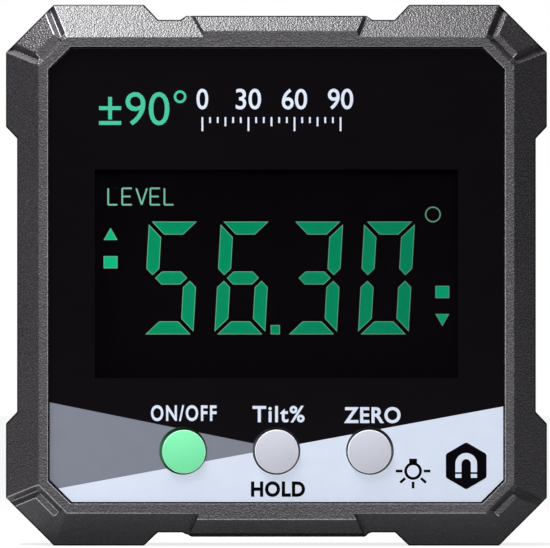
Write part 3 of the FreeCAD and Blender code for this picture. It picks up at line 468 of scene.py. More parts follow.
@dataclass(frozen=True)
class LitSegment(Finish):
    """A lit segment, a little stronger on the left than on the right."""

    specular: float = 0.0
    right_colour: Colour = (0, 0, 0)
    strength: float = 1.06

    def dress(self, surface: Surface) -> None:
        """Adds the glow with its drift across the display and a trace of unevenness.

        Args:
            surface: The nodes of the material.
        """
        cloud = surface.pattern(Noise.CLOUD, 1.8 * MM, 2)
        share = (surface.along(Axis.X) * 0.9 + (cloud * 0.006 - 0.003)).ramp(-15 * MM, 15 * MM)
        surface.wear("Emission Color", surface.mix(share, self.colour, self.right_colour))
        surface.wear("Emission Strength", self.strength)
        surface.wear("Base Color", rgba((0.0, 0.0, 0.0)))
        self.roughen(surface, cloud, 0.1)


@dataclass(frozen=True)
class BrushedMetal(Finish):
    """Metal with fine lines along one direction."""

    metallic: float = 1.0
    lines: tuple[float, float, float] = (400, 6000, 6000)
    depth: float = 0.003 * MM

    def dress(self, surface: Surface) -> None:
        """Adds the lines and small stains.

        Args:
            surface: The nodes of the material.
        """
        line = surface.pattern(Noise.CLOUD, 1.0, 2, surface.mapped(self.lines))
        stain = surface.pattern(Noise.CLOUD, 2.5 * MM, 4)
        surface.paint(surface.mix(stain, self.shade(0.8), self.shade(1.08)))
        self.roughen(surface, (line + stain) * 0.5, 0.22)
        surface.emboss(line, self.depth)


@dataclass(frozen=True)
class SolderMask(Finish):
    """A circuit board's mask over its copper runs."""

    def dress(self, surface: Surface) -> None:
        """Adds runs of copper that show through the mask.

        Args:
            surface: The nodes of the material.
        """
        facing_front = surface.mapped((700, 700, 700), (math.pi / 2, 0, 0))
        runs = surface.signal("ShaderNodeTexBrick", "Fac", inputs={
            "Vector": facing_front, "Scale": 1.0, "Mortar Size": 0.08})
        cloud = surface.pattern(Noise.CLOUD, 3 * MM, 3)
        base = surface.mix(cloud, self.shade(0.85), self.shade(1.1))
        surface.paint(surface.mix(runs * 0.7, base, self.shade(2.2)))
        surface.emboss(runs, 0.02 * MM)
        self.roughen(surface, cloud, 0.1)


@dataclass(frozen=True)
class CellJacket(Finish):
    """A battery's printed jacket: a band at the positive end and a bare steel rim at both."""

    band_colour: Colour = (0, 0, 0)
    steel: Colour = (0, 0, 0)
    turned: bool = False
    band_start: float = 11 * MM
    line: Band = (9.9 * MM, 10.3 * MM)
    rim_start: float = 21.9 * MM
    foot_start: float = -23 * MM

    def dress(self, surface: Surface) -> None:
        """Adds the bands along the battery and a faint brush on the steel.

        Args:
            surface: The nodes of the material.
        """
        along = surface.along(Axis.X) * (-1.0 if self.turned else 1.0)
        scuff = surface.pattern(Noise.CLOUD, 0.8 * MM, 4)
        jacket = surface.mix(scuff, self.shade(0.8), self.shade(1.25))
        band = surface.mix(scuff, self.band_colour, tuple(value * 0.86 for value in self.band_colour))
        printed = surface.mix(along > self.band_start, jacket, band)
        on_line = (along > self.line[0]) * (along < self.line[1])
        printed = surface.mix(on_line, printed, self.band_colour)
        bare = surface.maths("MAXIMUM", along > self.rim_start, along < self.foot_start)
        surface.paint(surface.mix(bare, printed, self.steel))
        surface.wear("Metallic", bare)
        self.roughen(surface, scuff, 0.12)


@dataclass(frozen=True)
class PlatedDisc(Finish):
    """A plated magnet, with fine turning marks and small stains."""

    metallic: float = 1.0

    def dress(self, surface: Surface) -> None:
        """Adds the stains and the marks.

        Args:
            surface: The nodes of the material.
        """
        stain = surface.pattern(Noise.CLOUD, 1.2 * MM, 5)
        marks = surface.pattern(Noise.CLOUD, 0.15 * MM, 2)
        surface.paint(surface.mix(stain, self.shade(0.75), self.shade(1.1)))
        self.roughen(surface, (stain + marks) * 0.5, 0.2)
        surface.emboss(marks, 0.004 * MM)


HOUSING = SparkPlastic("spark_plastic", colour_of(41, 38, 42), roughness=0.36, specular=0.55,
                       pitch=0.21 * MM, depth=0.088 * MM, painted_glints=0.5)
# Painted shade: a matt copy of the housing finish that renders only the upper left slopes darker
MATT_PAINTED_SHADE_WALL = SparkPlastic("matt_groove_wall", colour_of(52, 49, 53), roughness=0.6, specular=0.15,
                         pitch=0.21 * MM, depth=0.05 * MM)
# Lighter edges: rubbed wear, and also a painted highlight along them
EDGE_WEAR_AND_HIGHLIGHT = SparkPlastic("rubbed_edge", colour_of(80, 79, 83), roughness=0.3, pitch=0.2 * MM,
                           depth=0.02 * MM)
# Painted highlight: a pale finish for thin bright lines on chosen edges
PAINTED_HIGHLIGHT_EDGE = SparkPlastic("light_edge", colour_of(150, 148, 154), roughness=0.35, specular=0.4,
                          pitch=0.2 * MM, depth=0.01 * MM)
# Painted shade: a dark, matt finish for the outline where the walls meet the front bevel
PAINTED_SHADE_OUTLINE = SparkPlastic("dark_edge", colour_of(17, 16, 18), roughness=0.7, specular=0.05, depth=0.01 * MM)
COVER = SparkPlastic("cover_plastic", colour_of(54, 54, 57), roughness=0.46, pitch=0.22 * MM,
                     depth=0.02 * MM)
WHITE_INK = SmoothPlastic("white_ink", colour_of(216, 225, 242), roughness=0.3, specular=0.15)
GREY_INK = SmoothPlastic("grey_ink", colour_of(125, 128, 141), roughness=0.3, specular=0.1)
BLACK_INK = SmoothPlastic("black_ink", colour_of(8, 7, 12), roughness=0.14, specular=0.02)
GREEN_INK = SmoothPlastic("green_ink", colour_of(66, 190, 152), roughness=0.3, specular=0.1)
GREEN_CAP = SmoothPlastic("green_cap", colour_of(120, 233, 170), roughness=0.45, specular=0.3,
                          depth=0.006 * MM)
GREY_CAP = SmoothPlastic("grey_cap", colour_of(198, 200, 212), roughness=0.45, specular=0.3,
                         depth=0.006 * MM)
# Painted highlight: paler finishes for the caps' rounded edges
GREEN_CAP_HIGHLIGHT = SmoothPlastic("green_cap_rim", colour_of(186, 248, 212), roughness=0.4, specular=0.4)
GREY_CAP_HIGHLIGHT = SmoothPlastic("grey_cap_rim", colour_of(240, 241, 249), roughness=0.4, specular=0.4)
SEGMENT = LitSegment("lit_segment", colour_of(0, 156, 105), right_colour=colour_of(0, 134, 93))
SEGMENT_EDGE = LitSegment("lit_edge", colour_of(116, 184, 148), right_colour=colour_of(96, 150, 124))
MARK_GLOW = LitSegment("lit_mark", colour_of(8, 200, 137), right_colour=colour_of(2, 160, 112))
WORD_GLOW = LitSegment("lit_word", colour_of(126, 200, 170), right_colour=colour_of(70, 90, 80))
FILM = ClearSheet("clear_film", colour_of(54, 46, 56), roughness=0.1, alpha=0.05)
GLASS = ClearSheet("display_glass_clear", colour_of(12, 14, 14), roughness=0.06)
DARK_FIELD = SmoothPlastic("display_dark_field", colour_of(14, 10, 14), roughness=0.4, specular=0.02)
ADHESIVE = Finish("adhesive_sheet", colour_of(180, 172, 140), roughness=0.55)
RUBBER = SmoothPlastic("seal_rubber", colour_of(32, 32, 34), roughness=0.7, depth=0.01 * MM)
SILICONE = SmoothPlastic("key_silicone", colour_of(150, 152, 150), roughness=0.6, depth=0.01 * MM)
CARBON = SmoothPlastic("carbon_pill", colour_of(26, 26, 28), roughness=0.8, depth=0.012 * MM)
NYLON = SmoothPlastic("nylon_washer", colour_of(214, 210, 198), roughness=0.45)
HOLDER = SmoothPlastic("holder_plastic", colour_of(206, 206, 200), depth=0.008 * MM)
LIGHT_GUIDE = SmoothPlastic("light_guide_acrylic", colour_of(222, 230, 226), roughness=0.15)
LED_BODY = SmoothPlastic("led_body", colour_of(226, 220, 150), roughness=0.35)
CHIP = SmoothPlastic("chip_resin", colour_of(34, 34, 36), roughness=0.55, depth=0.01 * MM)
BOARD = SolderMask("solder_mask", colour_of(16, 72, 44), roughness=0.35)
STEEL = BrushedMetal("screw_steel_zinc", colour_of(150, 150, 154), roughness=0.34)
BRASS = BrushedMetal("insert_brass_turned", colour_of(188, 150, 82), roughness=0.3)
NICKEL = BrushedMetal("contact_nickel", colour_of(190, 186, 176), roughness=0.26)
CAN = BrushedMetal("can_steel", colour_of(196, 196, 194), roughness=0.22)
MAGNET = PlatedDisc("magnet_plating", colour_of(176, 174, 170), roughness=0.26)
UPPER_CELL = CellJacket("upper_cell_jacket", colour_of(30, 31, 34), roughness=0.34,
                        band_colour=colour_of(176, 122, 66), steel=colour_of(190, 188, 184))
LOWER_CELL = CellJacket("lower_cell_jacket", UPPER_CELL.colour, roughness=UPPER_CELL.roughness,
                        band_colour=UPPER_CELL.band_colour, steel=UPPER_CELL.steel, turned=True)
BLACK_CARD = Finish("black_card", (0.005, 0.005, 0.005), roughness=0.9, specular=0.0)

# In the order of the shells' material slots
SHELL_FINISHES = (HOUSING, EDGE_WEAR_AND_HIGHLIGHT, PAINTED_HIGHLIGHT_EDGE, PAINTED_SHADE_OUTLINE, MATT_PAINTED_SHADE_WALL)

NODE_FINISHES: dict[Finish, tuple[str, ...]] = {
    ADHESIVE: ("panel_adhesive",),
    RUBBER: ("housing_gasket", "battery_cover_gasket", "zebra_strip"),
    FILM: ("lcd_front_polarizer",),
    GLASS: ("lcd_front_glass",),
    DARK_FIELD: ("lcd_rear_glass", "lcd_rear_polarizer"),
    LIGHT_GUIDE: ("backlight_guide",),
    LED_BODY: ("backlight_leds",),
    HOLDER: ("lcd_holder",),
    BOARD: ("circuit_board",),
    CHIP: ("controller_chip", "tilt_sensor_chip", "voltage_converter_chip", "smd_parts"),
    CAN: ("crystal_oscillator",),
    SILICONE: ("keypad_mat", "power_key_core", "hold_key_core", "zero_key_core",
               "power_key_web", "hold_key_web", "zero_key_web"),
    CARBON: ("power_contact_pill", "hold_contact_pill", "zero_contact_pill"),
    STEEL: ("board_screws",),
    BRASS: ("threaded_inserts",),
    NYLON: ("screw_retaining_washers",),
    NICKEL: ("battery_positive_contact", "battery_negative_contact", "battery_bridge_contact",
             "upper_battery_spring", "lower_battery_spring"),
    MAGNET: ("left_front_magnet", "right_front_magnet", "left_rear_magnet", "right_rear_magnet"),
}


# Modelling


class Bench:
    """Blender's operators on one object at a time."""

    @staticmethod
    def clear() -> None:
        """Leaves nothing selected."""
        bpy.ops.object.select_all(action="DESELECT")

    @staticmethod
    def take(*objects: bpy.types.Object) -> None:
        """Selects only these objects, the last one active.

        Args:
            objects: The objects.
        """
        Bench.clear()
        for item in objects:
            item.select_set(True)
        bpy.context.view_layer.objects.active = objects[-1]

    @staticmethod
    def add(name: str, data: bpy.types.ID) -> bpy.types.Object:
        """Adds an object with this data to the scene.

        Args:
            name: The object's name.
            data: Its mesh, lamp or camera.

        Returns:
            The object.
        """
        made = bpy.data.objects.new(name, data)
        bpy.context.scene.collection.objects.link(made)
        return made

    @staticmethod
    def named(name: str) -> bpy.types.Object:
        """Names the active object and its mesh.

        Args:
            name: The name.

        Returns:
            The object.
        """
        made = bpy.context.object
        made.name = name
        made.data.name = name
        return made

    @staticmethod
    def settle(piece: bpy.types.Object) -> bpy.types.Object:
        """Puts the place, turn and scale of an object into its mesh.

        Args:
            piece: The object.

        Returns:
            The object, at the origin.
        """
        Bench.take(piece)
        bpy.ops.object.transform_apply(location=True, rotation=True, scale=True)
        return piece

    @staticmethod
    def edit_whole(piece: bpy.types.Object) -> None:
        """Opens an object in edit mode with all of it selected.

        Args:
            piece: The object.
        """
        Bench.take(piece)
        bpy.ops.object.mode_set(mode="EDIT")
        bpy.ops.mesh.select_all(action="SELECT")

    @staticmethod
    def edit(piece: bpy.types.Object, chosen: Callable[[bmesh.types.BMesh], Iterable]) -> None:
        """Opens an object in edit mode with only the chosen faces or edges selected.

        Args:
            piece: The object.
            chosen: Returns the faces or edges to select from the open mesh.
        """
        Bench.take(piece)
        bpy.ops.object.mode_set(mode="EDIT")
        mesh = bmesh.from_edit_mesh(piece.data)
        bpy.ops.mesh.select_all(action="DESELECT")
        picked = list(chosen(mesh))
        faces = bool(picked) and isinstance(picked[0], bmesh.types.BMFace)
        bpy.ops.mesh.select_mode(type="FACE" if faces else "EDGE")
        for item in picked:
            item.select_set(True)
        mesh.select_flush_mode()
        bmesh.update_edit_mesh(piece.data)

    @staticmethod
    def close() -> None:
        """Goes back to object mode."""
        bpy.ops.object.mode_set(mode="OBJECT")

    @staticmethod
    def apply(piece: bpy.types.Object, kind: str, **settings: object) -> None:
        """Adds a modifier and applies it.

        Args:
            piece: The object.
            kind: The modifier's type.
            settings: Attributes of the modifier.
        """
        Bench.take(piece)
        modifier = piece.modifiers.new(kind.lower(), kind)
        for key, value in settings.items():
            setattr(modifier, key, value)
        bpy.ops.object.modifier_apply(modifier=modifier.name)

    @staticmethod
    def recalculate(piece: bpy.types.Object) -> None:
        """Merges doubles and turns every face outwards.

        Args:
            piece: The object.
        """
        Bench.edit_whole(piece)
        bpy.ops.mesh.remove_doubles(threshold=DOUBLES)
        bpy.ops.mesh.normals_make_consistent(inside=False)
        Bench.close()

    @staticmethod
    def copy_node(node: bpy.types.Object, name: str) -> bpy.types.Object:
        """A merged copy of a CAD node's mesh, with its flat faces whole again.

        Args:
            node: The CAD node.
            name: The name of the copy.

        Returns:
            The copy, at the origin.
        """
        made = Bench.add(name, node.data.copy())
        made.data.name = name
        made.data.materials.clear()
        Bench.edit_whole(made)
        bpy.ops.mesh.customdata_custom_splitnormals_clear()
        bpy.ops.mesh.remove_doubles(threshold=DOUBLES)
        bpy.ops.mesh.dissolve_limited(angle_limit=math.radians(0.3))
        Bench.close()
        return made

    @staticmethod
    def lathe(name: str, profile: Sequence[Sequence[float]], axis: tuple[int, int, int],
              sides: int) -> bpy.types.Object:
        """Spins a line of points once round an axis through the origin.

        Args:
            name: The object's name.
            profile: The points.
            axis: The direction of the axis.
            sides: Steps round the axis.

        Returns:
            The object, its doubles not merged yet.
        """
        mesh = bpy.data.meshes.new(name)
        mesh.from_pydata(profile, [(step, step + 1) for step in range(len(profile) - 1)], [])
        made = Bench.add(name, mesh)
        Bench.edit_whole(made)
        bpy.ops.mesh.spin(steps=sides, angle=2 * math.pi, center=(0, 0, 0), axis=axis)
        Bench.close()
        return made

    @staticmethod
    def middle(edge: bmesh.types.BMEdge) -> Vector:
        """The middle of an edge."""
        return (edge.verts[0].co + edge.verts[1].co) / 2

    @staticmethod
    def bevel_edges(piece: bpy.types.Object, width: float, keep: EdgeTest, steps: int = 2,
                    sharp: float = 17.0, slot: int = -1) -> None:
        """Rounds the sharp edges that pass a test, but none of a rounding with a finish of its own.

        Args:
            piece: The object.
            width: The width of the rounding, in metres.
            keep: Says whether an edge is rounded.
            steps: Segments across the rounding.
            sharp: The least angle between the two faces, in degrees.
            slot: The material slot of the rounding, or -1 for that of its neighbours.
        """
        limit = math.radians(sharp)

        def chosen(mesh: bmesh.types.BMesh) -> list[bmesh.types.BMEdge]:
            """Sharp edges that pass.

            Args:
                mesh: The open mesh.

            Returns:
                The edges.
            """
            return [edge for edge in mesh.edges
                    if len(edge.link_faces) == 2 and edge.calc_face_angle() > limit
                    and max(face.material_index for face in edge.link_faces) == 0 and keep(edge)]

        Bench.edit(piece, chosen)
        bpy.ops.mesh.bevel(offset=width, segments=steps, affect="EDGES", clamp_overlap=False, material=slot)
        Bench.close()

    @staticmethod
    def smooth(piece: bpy.types.Object, angle: float) -> None:
        """Smooth shading, weighted so that flat faces stay flat.

        Args:
            piece: The object.
            angle: Edges under this angle in degrees are smooth.
        """
        Bench.take(piece)
        bpy.ops.object.shade_smooth_by_angle(angle=math.radians(angle))
        Bench.apply(piece, "WEIGHTED_NORMAL", keep_sharp=True, weight=80)

    @staticmethod
    def dress(piece: bpy.types.Object, *finishes: Finish) -> None:
        """Gives the object these finishes, one for each material slot.

        Args:
            piece: The object.
            finishes: The finishes.
        """
        piece.data.materials.clear()
        for finish in finishes:
            piece.data.materials.append(finish.material())

    @staticmethod
    def join(pieces: Sequence[bpy.types.Object], name: str) -> bpy.types.Object:
        """Joins meshes into one object.

        Args:
            pieces: The objects.
            name: The name of the whole.

        Returns:
            The object.
        """
        Bench.take(*pieces)
        if len(pieces) > 1:
            bpy.ops.object.join()
        return Bench.named(name)


@dataclass(frozen=True)
class Layer:
    """A thin print on the front: its thickness and the depth of its middle, in metres."""

    thick: float
    level: float

    def disc(self, name: str, centre: Point, radius: float, sides: int,
             share: float = 1.0) -> bpy.types.Object:
        """A round or many-sided tile.

        Args:
            name: The object's name.
            centre: Its middle, across and up.
            radius: Its radius in millimetres.
            sides: Its sides.
            share: Its thickness, as a share of the layer's.

        Returns:
            The tile.
        """
        Bench.clear()
        bpy.ops.mesh.primitive_cylinder_add(vertices=sides, radius=radius * MM, depth=self.thick * share,
                                            location=(centre[0] * MM, self.level, centre[1] * MM),
                                            rotation=(math.pi / 2, 0, 0))
        return Bench.settle(Bench.named(name))

    def ring(self, name: str, centre: Point, outer: float, inner: float) -> bpy.types.Object:
        """A ring.

        Args:
            name: The object's name.
            centre: Its middle, across and up.
            outer: Its outer radius in millimetres.
            inner: Its inner radius.

        Returns:
            The ring.
        """
        sides = 56
        ring = self.disc(name, centre, outer, sides)
        hole = self.disc(name + "_hole", centre, inner, sides, 4)
        Bench.apply(ring, "BOOLEAN", object=hole, operation="DIFFERENCE", solver="EXACT")
        bpy.data.objects.remove(hole)
        return ring

    def bar(self, name: str, start: Point, end: Point, width: float) -> bpy.types.Object:
        """A bar between two points.

        Args:
            name: The object's name.
            start: First end, across and up.
            end: Second end.
            width: Width in millimetres.

        Returns:
            The bar.
        """
        span = Vector((end[0] - start[0], 0, end[1] - start[1])) * MM
        Bench.clear()
        bpy.ops.mesh.primitive_cube_add(size=1)
        bar = Bench.named(name)
        bar.scale = (span.length, self.thick, width * MM)
        bar.rotation_euler = (0, -math.atan2(span.z, span.x), 0)
        bar.location = ((start[0] + end[0]) / 2 * MM, self.level, (start[1] + end[1]) / 2 * MM)
        return Bench.settle(bar)

    def bars(self, name: str, lines: Iterable[Sequence[Point]], width: float) -> bpy.types.Object:
        """Bars along lines of points, as one mesh."""
        ends = [pair for line in lines for pair in zip(line, line[1:])]
        return Bench.join([self.bar(name, start, end, width) for start, end in ends], name)


@dataclass
class Part:
    """A sub-assembly: it makes its pieces and sets them on their bodies."""

    frame: dict

    @property
    def nodes(self) -> dict[str, bpy.types.Object]:
        """The CAD nodes by name."""
        return self.frame["nodes"]

    def seat(self, piece: bpy.types.Object, body: str, slot: str, *stands_for: str) -> None:
        """Rides a piece on its body and reports it.

        Args:
            piece: The finished piece.
            body: The body that it moves with.
            slot: The material slot of the record; not used.
            stands_for: CAD nodes that it replaces.
        """
        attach(piece, body)
        if stands_for:
            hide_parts(*stands_for)
        LOG.info("%s rides on %s with %d faces", piece.name, body, len(piece.data.polygons))

    def build(self) -> None:
        """Makes every piece of the sub-assembly."""
        raise NotImplementedError


@dataclass
class Shells(Part):
    """The two shells of the box and its battery cover."""

    smooth_under: float = 25.0
    edge: float = 0.1 * MM
    fine_edge: float = 0.07 * MM
    outline_edge: float = 0.2 * MM
    outline_depth: float = -12.5 * MM
    slant: Band = (0.5, FACE_ON)
    face_margin: float = 0.6 * MM
    recess_cut: float = 2.6 * MM
    brow_band: Band = (7.9 * MM, 10.1 * MM)
    brow_gap: float = 0.8 * MM
    front_wall: float = 3.2 * MM
    rear_wall: float = 2.4 * MM
    # Upper left corner whose slopes get a matt copy of the housing finish that renders them darker as
    # painted shade, and how far forwards and how far up these look
    shaded_corner: Point = (-20 * MM, 50 * MM)
    shaded_facing: Band = (-0.66, -0.3)
    shaded_rise: float = 0.7
    # Where edges get a painted highlight: the bezel, the left pad and the upper left corner, in millimetres
    bezel_top: float = 4.2
    pad_top: float = 11.0
    base_top: float = 3.0
    corner_line: float = 20.0
    upper_corner: float = 56.5
    # Ends of the ledges in the lower bumpers, where they get no painted highlight
    ledge_foot: Band = (22.9, 24.05)
    ledge_foot_top: float = 4.3
    ledge_back: float = -13.9
    ledge_head: Band = (25.7, 26.7)
    ledge_head_levels: Band = (5.4, 6.4)
    # Corners of the brow's ends over the panel, and how far across they really are
    brow_ends: Moves = ((9.6, -12.3, 58.75, 9.65), (8.821, -14, 57.05, 8.9), (9.6, -11.6, 58.75, 9.97),
                        (8.5, -14, 56.35, 9.15), (-9.6, -12.3, 58.75, -9.05), (-8.821, -14, 57.05, -8.1),
                        (-9.6, -11.6, 58.75, -9.5), (-8.5, -14, 56.35, -8.05), (9.6, -11.6, 1.25, 9.75))
    # Ends of the groove at the base of both lower bumpers, and how far back they really are
    groove_ends: Moves = ((25.159, -9.642, 0.459, -10.35), (23.738, -13.073, 3.891, -13.781))
    # Corners of the stepped base, across and up, in the solid and where they really are
    base_trench: Moves = ((-13.1, 1.7, -13.14, 1.47), (-10.65, 1.7, -10.45, 1.47),
                          (10.65, 1.7, 10.52, 1.47), (13.1, 1.7, 13.14, 1.47))
    base_pad: Moves = ((-10.0, 1.25, -9.5, 0.87), (10.0, 1.25, 9.87, 0.87))
    base_slopes: float = 11.0
    groove_half: float = 3.0
    groove_slope: float = 1.25
    groove_play: float = 0.2

    def __post_init__(self) -> None:
        """Reads the places that tell inside from outside."""
        self.panel_low, self.panel_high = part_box("window_panel")
        self.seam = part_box("front_housing")[1].y
        self.rear_low, self.rear_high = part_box("rear_housing")
        self.cover_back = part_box("battery_cover")[1].y

    def build(self) -> None:
        """Makes the shells and the cover from their CAD solids, with softened edges."""
        self.build_front()
        self.build_rear()
        self.build_cover()

    def build_front(self) -> None:
        """The front shell, with a painted shade outline, painted highlight lines round the bezel and one
        matt corner with painted shade.
        """
        front = self.copy_shell("front_shell", "front_housing")
        self.move_ends(front)
        self.move_base(front, self.base_trench)
        # Painted shade along the outline
        Bench.bevel_edges(front, self.outline_edge, self.on_outline, slot=ShellSlot.DARK)
        # Painted highlight on the chosen edges
        Bench.bevel_edges(front, self.fine_edge, self.gets_painted_highlight, slot=ShellSlot.LIGHT)
        Bench.bevel_edges(front, self.edge, self.outside_front, slot=ShellSlot.PLAIN)
        # Painted shade on the upper left slopes
        for face in front.data.polygons:
            slope = face.normal.z > self.shaded_rise and within(face.normal.y, self.shaded_facing)
            if slope and face.center.x < self.shaded_corner[0] and face.center.z > self.shaded_corner[1]:
                face.material_index = ShellSlot.MATT
        Bench.smooth(front, self.smooth_under)
        self.seat(front, "housing", "housing", "front_housing")

    def build_rear(self) -> None:
        """The rear shell, with lighter edges behind the seam: rubbed wear and a painted highlight."""
        rear = self.copy_shell("rear_shell", "rear_housing")
        self.move_base(rear, self.base_trench + self.base_pad)
        Bench.bevel_edges(rear, self.edge, self.outside_rear, slot=ShellSlot.RUBBED)
        # Faces at the seam keep the plain finish, without the painted highlight
        for face in rear.data.polygons:
            if face.center.y < self.rear_low.y + self.face_margin:
                face.material_index = ShellSlot.PLAIN
        Bench.smooth(rear, self.smooth_under)
        self.seat(rear, "housing", "housing", "rear_housing")

    def build_cover(self) -> None:
        """The battery cover, with every edge of its outside rounded."""
        cover = Bench.copy_node(self.nodes["battery_cover"], "cover_plate")
        outside = self.cover_back - self.face_margin
        Bench.bevel_edges(cover, self.fine_edge * 2, lambda edge: Bench.middle(edge).y > outside)
        Bench.smooth(cover, self.smooth_under)
        Bench.dress(cover, COVER)
        self.seat(cover, "battery_cover", "cover", "battery_cover")

    def copy_shell(self, name: str, node: str) -> bpy.types.Object:
        """A copy of a shell, with the finishes of its faces and of its edges.

        Args:
            name: The name of the copy.
            node: The CAD shell.

        Returns:
            The copy.
        """
        shell = Bench.copy_node(self.nodes[node], name)
        Bench.dress(shell, *SHELL_FINISHES)
        return shell

    def move_ends(self, shell: bpy.types.Object) -> None:
        """Sets the ends of the brow aslant, and lets the grooves at the base run out.

        Args:
            shell: The copy of the front shell.
        """
        for corner in shell.data.vertices:
            for x, y, z, across in self.brow_ends:
                if at_corner(corner.co, (x, y, z)):
                    corner.co.x = across * MM
            for x, y, z, back in self.groove_ends:
                if at_corner(Vector((abs(corner.co.x), *corner.co.yz)), (x, y, z)):
                    corner.co.y = back * MM

    def move_base(self, shell: bpy.types.Object, moves: Moves) -> None:
        """Sets the steps of the base lower, along the slopes of the front, the back and the groove.

        Args:
            shell: The copy of a shell.
            moves: Each corner across and up, in the solid and where it really is.
        """
        for corner in shell.data.vertices:
            for x, z, across, up in moves:
                if not at_corner(corner.co.xz, (x, z)):
                    continue
                depth = corner.co.y / MM
                if abs(depth) > self.base_slopes:
                    depth -= math.copysign(z - up, depth)
                elif abs(depth) < self.groove_half - self.groove_play:
                    depth = math.copysign(self.groove_half - self.groove_slope * up, depth)
                corner.co = Vector((across, depth, up)) * MM

    @staticmethod
    def facings(edge: bmesh.types.BMEdge) -> Band:
        """How much the two faces of an edge look forwards or backwards, the least first."""
        least, most = sorted(abs(face.normal.y) for face in edge.link_faces)
        return least, most

    def on_outline(self, edge: bmesh.types.BMEdge) -> bool:
        """True where a wall of the outline meets the bevel of the front: the edge that gets painted shade.

        Args:
            edge: An edge of the front shell.

        Returns:
            Whether it is one of them.
        """
        least, most = self.facings(edge)
        outer = Bench.middle(edge).y > self.outline_depth
        return least < SIDE_ON and within(most, self.slant) and outer and self.outside_front(edge)

    def gets_painted_highlight(self, edge: bmesh.types.BMEdge) -> bool:
        """True where an edge gets a painted highlight: at the panel's rim, along the lower bezel and round
        the left grooves.

        Args:
            edge: An edge of the front shell.

        Returns:
            Whether it is one of them.
        """
        least, most = self.facings(edge)
        rim = least < SIDE_ON and most > FACE_ON
        middle = Bench.middle(edge) / MM
        across, back = abs(middle.x), max(corner.co.y for corner in edge.verts) / MM
        low = middle.z < self.bezel_top or (middle.z < self.pad_top and middle.x < self.corner_line)
        low = low and not (middle.z < self.base_top and across > self.corner_line)
        upper_left = middle.x < -self.corner_line and middle.z > self.upper_corner
        foot = within(across, self.ledge_foot) and middle.z < self.ledge_foot_top
        foot = foot and (back > self.ledge_back or middle.x > 0)
        head = within(across, self.ledge_head) and within(middle.z, self.ledge_head_levels)
        return (rim or low or upper_left) and not (foot or head) and self.outside_front(edge)

    def outside_front(self, edge: bmesh.types.BMEdge) -> bool:
        """True outside the panel's recess and in front of the seam's face, but not at the brow's ends.

        Args:
            edge: An edge of the front shell.

        Returns:
            Whether it is one of them.
        """
        middle = Bench.middle(edge)
        low, high = self.panel_low, self.panel_high
        beyond = max(low.x - middle.x, middle.x - high.x, low.z - middle.z, middle.z - high.z)
        corner = abs(middle.x) + abs(middle.z - (low.z + high.z) / 2)
        in_recess = beyond < -HAIR and corner < high.x * 2 - self.recess_cut
        brow_end = within(abs(middle.x), self.brow_band) and beyond > self.brow_gap
        inner_wall = middle.y > self.seam - HAIR and beyond < self.front_wall
        return not (in_recess or inner_wall or brow_end)

    def outside_rear(self, edge: bmesh.types.BMEdge) -> bool:
        """True on the outside and in the battery bay, but not in the front cavity.

        Args:
            edge: An edge of the rear shell.

        Returns:
            Whether it is one of them.
        """
        middle = Bench.middle(edge)
        low, high = self.rear_low, self.rear_high
        beyond = max(abs(middle.x), abs(middle.z - (low.z + high.z) / 2)) - high.x
        return beyond > -self.rear_wall or middle.y > high.y - self.rear_wall


@dataclass(frozen=True)
class Legend:
    """Words on the panel, with their box on the front, their ink and how many prints thick they stand."""

    name: str
    words: str
    left: float
    right: float
    low: float
    high: float
    finish: Finish
    weight: float = 0.01
    spacing: float = 1.0
    layer: int = 1


LEGENDS = (
    Legend("power_legend", "ON/OFF", -13.9, -6.63, 13.84, 15.61, WHITE_INK, 0.024, 1.2),
    Legend("tilt_legend", "Tilt%", -2.65, 3.12, 13.69, 15.54, WHITE_INK, 0.021, 1.14),
    Legend("zero_legend", "ZERO", 7.48, 13.75, 13.6, 15.41, WHITE_INK, 0.027, 1.1),
    Legend("hold_legend", "HOLD", -2.82, 3.17, 5.44, 7.18, BLACK_INK, 0.04, 1.1, 2),
    Legend("range_legend", "±90°", -19.65, -9.97, 46.59, 50.47, GREEN_INK, 0.0),
    Legend("scale_start_legend", "0", -8.85, -7.55, 48.35, 50.65, WHITE_INK),
    Legend("scale_third_legend", "30", -4.5, -1.7, 48.35, 50.65, WHITE_INK),
    Legend("scale_second_legend", "60", 0.6, 3.4, 48.35, 50.65, WHITE_INK),
    Legend("scale_end_legend", "90", 5.7, 8.5, 48.35, 50.65, WHITE_INK),
)


